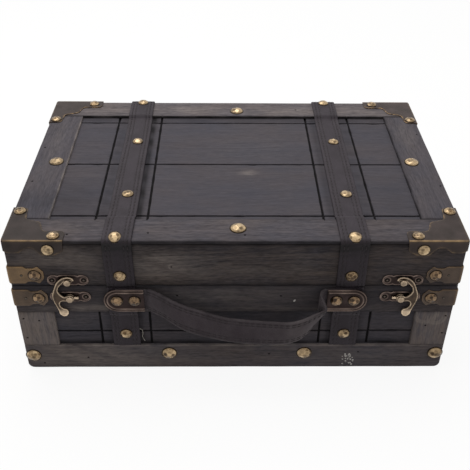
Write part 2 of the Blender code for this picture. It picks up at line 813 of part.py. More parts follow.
def latch_plate_mesh(post_radius, post_top):
    """A plate with nail holes, and the boss and headed post that stand in its middle."""
    holes = [circle(LATCH_HOLE, (sign * LATCH_HOLE_FROM_MIDDLE, 0), 10) for sign in (-1, 1)]
    plate = sheet([latch_outline()] + holes, PLATE)
    boss_top = PLATE + BOSS_HEIGHT
    post = turned(
        [
            (0, post_top + LATCH_HEAD_HEIGHT),
            (LATCH_HEAD * 0.62, post_top + LATCH_HEAD_HEIGHT * 0.86),
            (LATCH_HEAD, post_top + LATCH_HEAD_HEIGHT * 0.35),
            (LATCH_HEAD, post_top),
            (post_radius, post_top),
            (post_radius, boss_top),
            (BOSS_RADIUS, boss_top),
            (BOSS_RADIUS, PLATE / 2),
            (0, PLATE / 2),
        ],
        STUD_STEPS,
    )
    return plate, post


def hook_outline(arm):
    """The swing hook about its pivot: tip over the knob, round back, thumb tail, eye and mouth."""
    tip = [(x, y + arm) for x, y in HOOK_TIP]
    mouth = [(x, y + arm) for x, y in HOOK_MOUTH]
    eye_radius = PIVOT_RADIUS + EYE_GAP + HOOK_EYE_RIM
    eye = [
        (eye_radius * math.cos(angle), eye_radius * math.sin(angle))
        for angle in (math.radians(turn) for turn in range(-60, -301, -40))
    ]
    lip_radius = arm + KNOB_NECK + EYE_GAP
    lip = [
        (-lip_radius * math.sin(angle), lip_radius * math.cos(angle))
        for angle in (math.radians(HOOK_LIP * step / 4) for step in range(5))
    ]
    edge = smooth(tip + list(HOOK_BACK) + eye + list(HOOK_WEB) + mouth, 3)
    return [(point.x, point.y) for point in edge] + lip


def make_latches():
    """A knob on the lid, and a hook that swings on a pivot on the base, at each end of the front."""
    hook_low = FIT_GAP + PLATE + BOSS_HEIGHT + FIT_GAP
    post_top = PLATE + BOSS_HEIGHT + FIT_GAP + HOOK_THICKNESS + FIT_GAP
    arm = catch_level - pivot_level
    plate, knob = latch_plate_mesh(KNOB_NECK, post_top)
    catch = united([plate, knob])
    plate, pivot = latch_plate_mesh(PIVOT_RADIUS, post_top)
    peg = rod(SIDE_PEG, SIDE_PEG_LENGTH, 8)
    peg.transform(
        Matrix.Translation((PLATE - BOSS_RADIUS, 0, PLATE + SIDE_PEG / 2))
        @ Matrix.Rotation(math.radians(-90), 4, "Y")
    )
    pivot_plate = united([plate, pivot, peg])
    eye = circle(PIVOT_RADIUS + EYE_GAP, steps=16)
    hook = sheet([hook_outline(arm), eye], HOOK_THICKNESS)
    for side, sign in (("left", -1), ("right", 1)):
        x = sign * latch_x
        mirror = Matrix.Diagonal((sign, 1, 1, 1))
        pieces = {
            "latch_{}_catch": (catch, on_front(x, catch_level, FIT_GAP)),
            "latch_{}_pivot_plate": (pivot_plate, on_front(x, pivot_level, FIT_GAP)),
        }
        for pattern, (mesh, place) in pieces.items():
            placed = moved(mesh, place @ mirror)
            shade_round(placed)
            add_piece(pattern.format(side), placed, "bronze")
        swing = add_piece(f"hook_{side}", moved(hook, mirror), "bronze")
        swing.matrix_world = on_front(x, pivot_level, hook_low)


def hinge_leaf(up, knuckles):
    """A leaf about its pin's axis: the sheet lies against the back, and its knuckles wrap the pin."""
    span = HINGE_WIDTH / 2
    start = KNUCKLE_RADIUS + FIT_GAP
    outline = [
        (-span, 0, 0),
        (span, 0, 0),
        (span, HINGE_LEAF, HINGE_ROUND),
        (-span, HINGE_LEAF, HINGE_ROUND),
    ]
    holes = [circle(HINGE_HOLE, (end * HINGE_HOLE_FROM_MIDDLE, HINGE_HOLE_UP), 8) for end in (-1, 1)]
    plate = sheet([rounded(outline, 3)] + holes, HINGE_SHEET)
    plate = moved(plate, facing_out((0, -KNUCKLE_RADIUS, up * start), (-up, 0, 0), (0, 0, up)))
    along = Matrix.Rotation(math.radians(90), 4, "Y")
    parts = [plate]
    for low, high in knuckles:
        parts.append(
            box(
                (low, HINGE_SHEET - KNUCKLE_RADIUS, 0),
                (high, HINGE_SHEET / 5 - KNUCKLE_RADIUS, up * (start + HINGE_SHEET)),
            )
        )
        parts.append(moved(rod(KNUCKLE_RADIUS, high - low, 16), Matrix.Translation((low, 0, 0)) @ along))
    bore = rod(PIN_RADIUS + PIN_GAP, HINGE_WIDTH * 2, 16)
    bore.transform(Matrix.Translation((-HINGE_WIDTH, 0, 0)) @ along)
    leaf = united(parts, bore)
    shade_round(leaf)
    return leaf


def make_hinges():
    """Two butt hinges on the back, each of two leaves with knuckles and a pin."""
    span = HINGE_WIDTH / 2
    lid_knuckle = HINGE_WIDTH / 6
    base_leaf = hinge_leaf(-1, [(-span, -lid_knuckle - FIT_GAP), (lid_knuckle + FIT_GAP, span)])
    lid_leaf = hinge_leaf(1, [(-lid_knuckle, lid_knuckle)])
    pin = rod(PIN_RADIUS, HINGE_WIDTH + PIN_RADIUS, 16)
    pin.transform(Matrix.Translation((0, 0, -(HINGE_WIDTH + PIN_RADIUS) / 2)))
    shade_round(pin)
    for side, sign in (("left", -1), ("right", 1)):
        place = Matrix.Translation((sign * hinge_x, half_y + hinge_out, seam))
        add_piece(f"hinge_{side}_base_leaf", base_leaf.copy(), "bronze").matrix_world = place
        add_piece(f"hinge_{side}_lid_leaf", lid_leaf.copy(), "bronze").matrix_world = place
        piece = add_piece(f"hinge_{side}_pin", pin.copy(), "bronze")
        piece.matrix_world = place @ Matrix.Rotation(math.radians(90), 4, "Y")


def handle_plate_outline(inset):
    """Square at the inner end and round at the outer one, drawn from the inner end."""
    half = HANDLE_PLATE_HEIGHT / 2 - inset
    end = HANDLE_PLATE_LENGTH - inset
    corners = [
        (inset, -half, HANDLE_PLATE_ROUND),
        (end, -half, half),
        (end, half, half),
        (inset, half, HANDLE_PLATE_ROUND),
    ]
    return rounded(corners, 6)


def make_handle_plates():
    """The stamped plates that hold the handle's ends down, and the leather under them."""
    plate = sheet([handle_plate_outline(0)], PLATE)
    rim = sheet(
        [handle_plate_outline(HANDLE_RIM_INSET), handle_plate_outline(HANDLE_RIM_INSET + HANDLE_RIM_WIDTH)],
        PLATE / 2 + HANDLE_RIM_HEIGHT,
    )
    rim.transform(Matrix.Translation((0, 0, PLATE / 2)))
    places = [Matrix.Translation((place, 0, PLATE)) for place in HANDLE_STUDS]
    stamped = united([plate, rim, joined([moved(small_stud, place) for place in places], "studs")])
    tab_half = HANDLE_WIDTH / 2
    tab_end = HANDLE_PLATE_LENGTH - HANDLE_RIM_INSET
    tab_corners = [
        (0, -tab_half, 0),
        (tab_end, -tab_half, tab_half),
        (tab_end, tab_half, tab_half),
        (0, tab_half, 0),
    ]
    tab = sheet([rounded(tab_corners, 5)], TAB_THICKNESS)
    for side, sign in (("left", -1), ("right", 1)):
        x = sign * handle_x
        mirror = Matrix.Diagonal((sign, 1, 1, 1))
        placed = moved(stamped, on_front(x, handle_level, handle_plate_back) @ mirror)
        shade_round(placed)
        add_piece(f"handle_{side}_plate", placed, "bronze")
        leather = moved(tab, on_front(x, handle_level, strap_face + FIT_GAP) @ mirror)
        add_piece(f"handle_{side}_tab", leather, "leather")


def make_handle():
    """A leather band between the plates, with its origin on the line it swings about."""
    stations = smooth([Vector(station) for station in HANDLE_STATIONS], HANDLE_SAMPLES)
    shape = bmesh.new()
    bmesh.ops.create_grid(shape, x_segments=len(stations) - 1, y_segments=2, size=1)
    half_span = handle_x - FIT_GAP - HANDLE_THICKNESS / 4  # the ends slant, and reach out a little more
    hinge_line = Vector((0, -half_y - handle_out, handle_level + HANDLE_WIDTH / 2))
    for vert in shape.verts:
        along, out, drop, lean = stations[round((vert.co.x + 1) / 2 * (len(stations) - 1))]
        lean = math.radians(lean)
        across = vert.co.y * HANDLE_WIDTH / 2
        vert.co = (
            along / 100 * half_span,
            -half_y - handle_out - out / 100 * HANDLE_BULGE + across * math.sin(lean),
            handle_level - drop / 100 * HANDLE_DROOP + across * math.cos(lean),
        )
        vert.co -= hinge_line
    bmesh.ops.recalc_face_normals(shape, faces=shape.faces)
    mesh = bpy.data.meshes.new("handle")
    shape.to_mesh(mesh)
    shape.free()
    shade_round(mesh)
    band = add_piece("handle", mesh, "leather")
    wall = band.modifiers.new("Thickness", "SOLIDIFY")
    wall.thickness = HANDLE_THICKNESS
    wall.offset = 0
    swing = bpy.data.objects.new("handle hinge line", None)
    trunk.objects.link(swing)
    swing.location = hinge_line
    band.parent = swing


make_base_walls()
make_lid_boards()
make_straps()
make_corner_fittings()
make_latches()
make_hinges()
make_handle_plates()
make_handle()
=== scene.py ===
# A small storage trunk of dark washed boards with leather straps, a leather handle and aged bronze fittings.
# Metres, X to the trunk's right, Y to its back and Z up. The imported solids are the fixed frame.
import math

import bmesh
import bpy
import numpy as np
from mathutils import Matrix, Vector
from mathutils.geometry import delaunay_2d_cdt


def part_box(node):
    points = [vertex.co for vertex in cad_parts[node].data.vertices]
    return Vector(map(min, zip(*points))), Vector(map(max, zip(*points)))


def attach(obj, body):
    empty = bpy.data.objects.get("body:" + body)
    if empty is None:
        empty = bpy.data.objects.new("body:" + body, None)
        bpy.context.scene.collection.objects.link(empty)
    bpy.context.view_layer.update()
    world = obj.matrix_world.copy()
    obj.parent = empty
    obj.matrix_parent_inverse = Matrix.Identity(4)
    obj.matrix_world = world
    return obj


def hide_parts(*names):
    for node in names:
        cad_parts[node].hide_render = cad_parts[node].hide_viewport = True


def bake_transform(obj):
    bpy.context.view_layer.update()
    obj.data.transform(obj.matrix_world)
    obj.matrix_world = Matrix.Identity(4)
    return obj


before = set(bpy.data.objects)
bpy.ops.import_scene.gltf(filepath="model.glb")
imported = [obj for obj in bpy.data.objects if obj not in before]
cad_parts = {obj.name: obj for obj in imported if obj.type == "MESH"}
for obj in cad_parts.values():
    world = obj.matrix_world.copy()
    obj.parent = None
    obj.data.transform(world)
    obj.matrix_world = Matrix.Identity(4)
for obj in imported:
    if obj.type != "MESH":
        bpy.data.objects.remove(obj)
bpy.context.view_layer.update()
print("frame loaded")

# Sizes of the trunk that several pieces share
trunk = dict(
    halfX=0.170,
    halfY=0.113,
    height=0.130,
    seam=0.0882,
    wall=0.008,
    boardWidth=0.0285,  # rails and stiles
    gap=0.0003,  # between pieces that touch
    recess=0.0023,  # a panel lies this far behind its rails
    strapX=0.087,  # middle of a strap
    latchX=0.1265,
)


# Helpers: surfaces over grids, pieces and nodes


def smoothStep(x):
    # 0 below 0, 1 above 1, and 3x2 - 2x3 between
    x = np.clip(x, 0, 1)
    return x * x * (3 - 2 * x)


def wander(x, seed, wave, amount):
    # a slow uneven wave: three sines whose lengths and starts come from the seed, added up
    draw = np.random.default_rng(seed)
    total = 0
    for _ in range(3):
        total = total + np.sin(x * 2 * math.pi / (wave * draw.uniform(0.6, 1.7)) + draw.uniform(0, 6.28))
    return total * amount / 3


def bell(x, width):
    # 1 at 0, and exp(-(x / width)^2) away from it
    return np.exp(-((x / width) ** 2))


def unit(vectors):
    # each row at a length of 1
    return vectors / np.linalg.norm(vectors, axis=1)[:, None]


def runLength(path):
    # how far along a path each of its points lies
    return np.concatenate(([0], np.cumsum(np.linalg.norm(np.diff(path, axis=0), axis=1))))


def roundedLine(corners, radii, steps):
    # straight runs between corners, each corner turned on a parabola that leaves it at about its radius
    corners = np.array(corners, float)
    points = [corners[:1]]
    share = np.linspace(0, 1, steps)[:, None]
    for before, corner, after, radius in zip(corners, corners[1:], corners[2:], radii):
        back, on = before - corner, after - corner
        lengths = np.linalg.norm(back), np.linalg.norm(on)
        half = math.acos(np.clip(back @ on / lengths[0] / lengths[1], -1, 1)) / 2
        reach = min(radius / math.tan(half), 0.49 * lengths[0], 0.49 * lengths[1])
        start, end = corner + back / lengths[0] * reach, corner + on / lengths[1] * reach
        points.append(start * (1 - share) ** 2 + corner * 2 * share * (1 - share) + end * share**2)
    return np.concatenate(points + [corners[-1:]])


def divided(line, step, count=math.ceil, least=1e-7):
    # the same line with points about a step apart, leaving out gaps that are too small to matter
    parts = []
    for start, end in zip(line, line[1:]):
        gap = np.linalg.norm(end - start)
        if gap > least:
            pieces = max(1, count(gap / step))
            parts.append(start + (end - start) * np.arange(pieces)[:, None] / pieces)
    return np.concatenate(parts + [line[-1:]])


def camel(node):
    # a piece's name from its node's: lid_left_strap gives lidLeftStrap
    first, *rest = node.split("_")
    return first + "".join(word.title() for word in rest)


def gridPart(points, uv=None, closed=False, flip=False, **marks):
    # a surface over a grid of points: a quad between each four neighbours; closed joins last column to first
    rows, columns = points.shape[:2]
    index = np.arange(rows * columns).reshape(rows, columns)
    if closed:
        index = np.hstack((index, index[:, :1]))
    quads = np.stack((index[:-1, :-1], index[:-1, 1:], index[1:, 1:], index[1:, :-1]), -1).reshape(-1, 4)
    if flip:
        quads = quads[:, ::-1]
    count = rows * columns
    shares = {name: np.broadcast_to(mark, (rows, columns)).reshape(count) for name, mark in marks.items()}
    uv = points[..., :2] if uv is None else uv
    return dict(points=points.reshape(count, 3), faces=quads.tolist(), uv=uv.reshape(count, 2), marks=shares)


def joinParts(parts):
    # several parts as one: each part's points follow the last one's, and its faces count from there
    start = 0
    faces = []
    for part in parts:
        faces += [[corner + start for corner in face] for face in part["faces"]]
        start += len(part["points"])
    names = sorted({name for part in parts for name in part["marks"]})
    return dict(
        points=np.concatenate([part["points"] for part in parts]),
        faces=faces,
        uv=np.concatenate([part["uv"] for part in parts]),
        marks={
            name: np.concatenate(
                [np.broadcast_to(part["marks"].get(name, 0.0), len(part["points"])) for part in parts]
            )
            for name in names
        },
        inner=[face for part in parts for face in part.get("inner", [False] * len(part["faces"]))],
    )


def placed(part, right, up, out, origin=(0, 0, 0)):
    # x of the drawing runs along right, y along up and z along out; a mirrored part is turned right way out
    turn = np.array((right, up, out), float)
    moved = dict(part)
    moved["points"] = part["points"] @ turn + np.array(origin, float)
    if np.linalg.det(turn) < 0:
        moved["faces"] = [face[::-1] for face in part["faces"]]
    return moved


def addPiece(name, body, parts, finishes, stands=(), sharp=42, weld=True):
    # one finished piece: parts in one mesh, finishes, the body it rides on and the nodes it stands for
    part = joinParts(parts)
    mesh = bpy.data.meshes.new(name)
    mesh.from_pydata(part["points"].tolist(), [], part["faces"])
    loopPoint = np.zeros(len(mesh.loops), int)
    mesh.loops.foreach_get("vertex_index", loopPoint)
    layer = mesh.uv_layers.new(name="UVMap")
    layer.data.foreach_set("uv", part["uv"][loopPoint].astype(np.float32).ravel())
    for mark, values in part["marks"].items():
        attribute = mesh.attributes.new(mark, "FLOAT", "POINT")
        attribute.data.foreach_set("value", values.astype(np.float32))
    for finish in finishes:
        mesh.materials.append(finish)
    if len(finishes) > 1:
        mesh.polygons.foreach_set("material_index", np.array(part["inner"], np.int32))
    if weld:
        welded = bmesh.new()
        welded.from_mesh(mesh)
        bmesh.ops.remove_doubles(welded, verts=welded.verts, dist=0.000004)
        welded.to_mesh(mesh)
        welded.free()
    mesh.shade_smooth()
    mesh.set_sharp_from_angle(angle=math.radians(sharp))
    piece = bpy.data.objects.new(name, mesh)
    bpy.context.scene.collection.objects.link(piece)
    if body:
        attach(piece, body)
    if stands:
        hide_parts(*stands)
    return piece


def linearColour(hexColour):
    # sRGB hex to the linear values that shaders take
    channels = [int(hexColour[i : i + 2], 16) / 255 for i in (1, 3, 5)]
    return [c / 12.92 if c <= 0.04045 else ((c + 0.055) / 1.055) ** 2.4 for c in channels] + [1.0]


def nodeAdder(owner):
    # clears the nodes of a material or world, and gives the function that adds one there
    owner.use_nodes = True
    tree = owner.node_tree
    tree.nodes.clear()

    def addNode(kind, inputs=(), output=0, stops=(), **settings):
        # a node with its settings, ramp stops and inputs; another node's output is linked. Gives one output
        node = tree.nodes.new("ShaderNode" + kind)
        for key, value in settings.items():
            setattr(node, key, value)
        for (place, shade), element in zip(stops, node.color_ramp.elements if stops else ()):
            element.position = place
            element.color = linearColour(shade)
        for key, value in dict(inputs).items():
            if isinstance(value, bpy.types.NodeSocket):
                tree.links.new(value, node.inputs[key])
            else:
                node.inputs[key].default_value = linearColour(value) if isinstance(value, str) else value
        return node.outputs[output] if node.outputs else node

    return addNode


def newMaterial(name, finish, *details, **more):
    # a material whose shader takes the inputs that its finish works out
    material = bpy.data.materials.new(name)
    addNode = nodeAdder(material)
    shader = addNode("BsdfPrincipled", finish(addNode, *details, **more))
    addNode("OutputMaterial", {"Surface": shader})
    return material


# Materials

woodLook = dict(
    cool="#514f56",
    warm="#575256",
    olive="#665a52",
    pale="#a1968f",
    burnt="#0d0b0c",
    # noises: repeats in a metre along and across, detail and roughness
    cloud=((17, 30), 4.0, 0.6),  # where the wash lies thicker
    flow=((5, 9), 2.0, 0.6),  # slow waves that bend the grain
    sway=0.010,  # depth of those waves, in metres
    ring=((5, 170), 3.0, 0.5),  # growth rings about 6 mm apart
    fibre=((45, 440), 2.0, 0.6),  # fibres of about 2 mm by 20 mm
    pore=((170, 1000), 2.0, 0.6),  # open pores, a little coarser than life so that they show
)


def washedPine(addNode):
    # Pine boards, wire brushed, washed charcoal and rubbed back: matt, with a fine wavy grain, cool and warm
    # clouds, olive brown where the stain is thin, pale where hands rub, and burnt black in grooves and
    # joints, the same black also laying painted shadows beside the straps, under the rails and round the
    # fittings
    look = woodLook
    uv = addNode("UVMap")
    warm, tone, grain, dark, rub = (
        addNode("Attribute", output="Fac", attribute_name=name)
        for name in ("warm", "tone", "grain", "dark", "rub")
    )
    noise, place = {}, uv
    for name in ("cloud", "flow", "ring", "fibre", "pore"):
        scale, detail, rough = look[name]
        run = addNode("Mapping", {"Vector": place, "Scale": (*scale, 1)})
        noise[name] = addNode("TexNoise", {"Vector": run, "Scale": 1.0, "Detail": detail, "Roughness": rough})
        if name == "flow":
            # what follows lies along a grain that the flow has bent
            reach = {"To Min": -look["sway"], "To Max": look["sway"]}
            sway = addNode("MapRange", {"Value": noise["flow"], **reach})
            place = addNode("VectorMath", {0: uv, 1: addNode("CombineXYZ", {"Y": sway})}, operation="ADD")
    clouds = noise["cloud"]
    lines = addNode("Mix", {0: 0.65, 2: noise["ring"], 3: noise["fibre"]})
    streak = addNode("Mix", {0: 0.42, 2: lines, 3: noise["pore"]})
    ends = {"From Min": 0.38, "From Max": 0.62, "To Min": -0.5, "To Max": 0.5}
    swing = addNode("MapRange", {"Value": streak, **ends})
    drawn = addNode("Math", {0: swing, 1: grain}, operation="MULTIPLY")
    value = addNode("Math", {0: drawn, 1: 1.0}, operation="ADD")
    warmth = addNode("MapRange", {"Value": clouds, "From Min": 0.34, "From Max": 0.66})
    wash = addNode("Mix", {0: warmth, 6: look["cool"], 7: look["warm"]}, 2, data_type="RGBA")
    thin = addNode("Math", {0: lines, 1: clouds}, operation="ADD")
    bare = addNode("MapRange", {"Value": thin, "From Min": 0.7, "From Max": 1.25})
    brown = addNode("Math", {0: bare, 1: warm}, operation="MULTIPLY")
    browned = addNode("Mix", {0: brown, 6: wash, 7: look["olive"]}, 2, data_type="RGBA")
    lightness = addNode("Math", {0: value, 1: tone}, operation="MULTIPLY")
    toned = addNode("HueSaturation", {"Value": lightness, "Color": browned})
    ridges = addNode("MapRange", {"Value": streak, "From Min": 0.38, "From Max": 0.58, "To Min": 0.3})
    rubbing = addNode("Math", {0: rub, 1: ridges}, operation="MULTIPLY")
    rubbed = addNode("Mix", {0: rubbing, 6: toned, 7: look["pale"]}, 2, data_type="RGBA")
    return {
        # dark: grooves, joints and brad holes, and the painted shadows of the boards' patches
        "Base Color": addNode("Mix", {0: dark, 6: rubbed, 7: look["burnt"]}, 2, data_type="RGBA"),
        "Specular IOR Level": 0.12,
        "Roughness": 0.78,
        "Normal": addNode("Bump", {"Height": streak, "Strength": 0.4, "Distance": 0.0004}),
    }


def rawPine(addNode):
    # The same pine inside, only thinly stained: flat, brown-grey, with a faint grain
    run = addNode("Mapping", {"Vector": addNode("UVMap"), "Scale": (12, 420, 1)})
    grain = addNode("TexNoise", {"Vector": run, "Scale": 1.0, "Detail": 4.0, "Distortion": 0.5})
    return {
        "Base Color": addNode("ValToRGB", {0: grain}, stops=[(0.3, "#3d352d"), (0.7, "#6a5c4d")]),
        "Specular IOR Level": 0.25,
        "Roughness": 0.8,
        "Normal": addNode("Bump", {"Height": grain, "Strength": 0.4, "Distance": 0.0002}),
    }


def leather(addNode, deep, face, worn, cell):
    # Vegetable-tanned leather, dyed a dark brown violet: a fine cell grain, painted shade in creases and on
    # the rounded edges, edges rubbed lighter, a painted highlight on the handle's right half, and a dull
    # waxed sheen
    uv = addNode("UVMap")
    dark, rub = (addNode("Attribute", output="Fac", attribute_name=name) for name in ("dark", "rub"))
    cells = addNode("TexVoronoi", {"Vector": uv, "Scale": 1 / cell}, feature="SMOOTH_F1")
    mottle = addNode("TexNoise", {"Vector": uv, "Scale": 70.0, "Detail": 5.0, "Roughness": 0.6})
    fine = addNode("TexNoise", {"Vector": uv, "Scale": 800.0, "Detail": 3.0})
    tone = addNode("Mix", {0: 0.4, 2: mottle, 3: fine})
    hide = addNode("ValToRGB", {0: tone}, stops=[(0.35, deep), (0.65, face)])
    rubbing = addNode("Math", {0: rub, 1: mottle}, operation="MULTIPLY")
    rubbed = addNode("Mix", {0: rubbing, 6: hide, 7: worn}, 2, data_type="RGBA")
    height = addNode("Mix", {0: 0.4, 2: cells, 3: fine})
    return {
        "Base Color": addNode("Mix", {0: dark, 6: rubbed, 7: "#120e10"}, 2, data_type="RGBA"),
        "Specular IOR Level": 0.26,
        "Roughness": addNode("MapRange", {"Value": tone, "To Min": 0.74, "To Max": 0.56}),
        "Normal": addNode("Bump", {"Height": height, "Strength": 0.5, "Distance": 0.00025}),
    }


def waxedThread(addNode, deep, face):
    # Waxed twisted thread: a twist line every 0.4 mm and a slight shine
    place = {"Vector": addNode("UVMap"), "Scale": 400.0, "Distortion": 1.0}
    twist = addNode("TexWave", place, "Fac", bands_direction="DIAGONAL")
    return {
        "Base Color": addNode("ValToRGB", {0: twist}, stops=[(0.2, deep), (0.8, face)]),
        "Specular IOR Level": 0.3,
        "Roughness": 0.6,
    }


def agedMetal(addNode, deep, face, bright, rough, grit, metallic, pitted=0.25):
    # A cast or stamped copper alloy with an aged finish: dark patina left in the low places, a brown face
    # with soft clouds, and bare bright metal where edges and domes are rubbed. The dark and bright colours
    # also lay painted shade and painted highlights on some nails, brackets and the hook's tail
    place = addNode("TexCoord", output="Object")
    dark, rub = (addNode("Attribute", output="Fac", attribute_name=name) for name in ("dark", "rub"))
    cloud = addNode("TexNoise", {"Vector": place, "Scale": grit, "Detail": 3.0, "Roughness": 0.55})
    fine = addNode("TexNoise", {"Vector": place, "Scale": 1800.0, "Detail": 2.0})
    tone = addNode("Mix", {0: pitted, 2: cloud, 3: fine})
    aged = addNode("ValToRGB", {0: tone}, stops=[(0.36, deep), (0.64, face)])
    bare = addNode("MapRange", {"Value": tone, "From Min": 0.3, "From Max": 0.55, "To Min": 0.45})
    rubbing = addNode("Math", {0: rub, 1: bare}, operation="MULTIPLY")
    rubbed = addNode("Mix", {0: rubbing, 6: aged, 7: bright}, 2, data_type="RGBA")
    held = addNode("Math", {0: dark, 1: 0.85}, operation="MULTIPLY")
    return {
        "Base Color": addNode("Mix", {0: held, 6: rubbed, 7: "#130e0a"}, 2, data_type="RGBA"),
        "Metallic": metallic,
        "Roughness": addNode("MapRange", {"Value": tone, "To Min": rough + 0.12, "To Max": rough - 0.08}),
        "Normal": addNode("Bump", {"Height": fine, "Strength": 0.15, "Distance": 0.0002}),
    }


def driedPaint(addNode):
    # Dried white wall paint: chalky flecks with a dull face, greyed at their thin edges
    place = addNode("TexCoord", output="Object")
    chalk = addNode("TexNoise", {"Vector": place, "Scale": 2500.0, "Detail": 2.0})
    colour = addNode("ValToRGB", {0: chalk}, stops=[(0.3, "#b5aca5"), (0.55, "#f2eee8")])
    return {"Base Color": colour, "Roughness": 0.8}


washedWood = newMaterial("washed pine", washedPine)
rawWood = newMaterial("unfinished pine", rawPine)
strapLeather = newMaterial("strap leather", leather, "#2d272b", "#3c353b", "#75666a", 0.0011)
handleLeather = newMaterial("handle leather", leather, "#372f33", "#4c4448", "#8d8384", 0.0012)
thread = newMaterial("waxed thread", waxedThread, "#151012", "#2b2024")
looseThread = newMaterial("frayed thread", waxedThread, "#8f887e", "#d4cec4")
metals = {  # colours of patina, face and rubbed edges (patina and rubbed edges also laying painted shade and highlights), roughness, clouds to the metre, metallic, and pitting
    "aged bronze sheet": ("#372e2a", "#493d3a", "#c8a678", 0.50, 90, 0.65),
    "stamped dark bronze": ("#2a2221", "#392f2d", "#968378", 0.42, 140, 1.0),
    "browned bronze strip": ("#392e28", "#57483c", "#b08d5e", 0.48, 60, 0.55),
    "cast bronze": ("#291d15", "#473528", "#e4ccae", 0.30, 300, 0.8),
    "antique brass nail heads": ("#352411", "#6f5433", "#dcc096", 0.25, 150, 0.6, 0.1),
    "darker small nail heads": ("#2b1d12", "#58422c", "#bd9c76", 0.27, 150, 0.6, 0.1),
    "blackened iron": ("#120f0d", "#221c18", "#8a7c6e", 0.5, 90, 0.6),
}
plateBronze, stampedBronze, bracketBronze, castBrass, nailBrass, nailBronze, iron = (
    newMaterial(name, agedMetal, *look) for name, look in metals.items()
)
paint = newMaterial("dried paint", driedPaint)
print("materials made")


# Boards

walls = {  # the directions along and across each wall as seen from outside
    "front": ((1, 0, 0), (0, 0, 1)),
    "back": ((-1, 0, 0), (0, 0, 1)),
    "left": ((0, -1, 0), (0, 0, 1)),
    "right": ((0, 1, 0), (0, 0, 1)),
    "top": ((1, 0, 0), (0, 1, 0)),
}

boardLook = dict(
    rounding=0.0008,  # eased edge of a board
    grooveWidth=0.0014,
    grooveDepth=0.0013,
    step=0.0018,  # between grid lines on a plain stretch
    nailHole=0.0011,  # radius of a brad hole
    nailDepth=0.0009,
    joint=0.0009,  # how far grime or wear reaches in from an edge
    grain=0.75,
    warm=0.3,
    tone=1.0,
)


def gridLines(length, edge, details):
    # even lines from 0 to length, with more of them at the two eased edges and across each detail
    lines = [np.linspace(0, length, max(2, int(length / boardLook["step"]) + 1))]
    eased = np.concatenate((edge * np.array([0, 0.08, 0.3, 0.6, 1.0]), [0.0013, 0.0019]))
    lines += [eased, length - eased]
    for middle, reach in details:
        lines.append(middle + reach * np.array([-1.5, -1, -0.7, -0.35, 0, 0.35, 0.7, 1, 1.5]))
    lines = np.unique(np.round(np.concatenate(lines), 5))
    return lines[(lines >= 0) & (lines <= length)]


def grooveCut(away, run, low, high, seed):
    # A sawn groove: full depth in its middle, sloped sides, an uneven width along its run, and two ends.
    # Gives how much of it is cut at each distance away from its line, and how uneven it is there
    half = boardLook["grooveWidth"] / 2
    uneven = 1 + wander(run, seed, 0.02, 0.2)
    reach = smoothStep((run - low) / half + 0.5) * smoothStep((high - run) / half + 0.5)
    return smoothStep(2.4 - np.abs(away) / (half * uneven) * 1.6) * reach, uneven


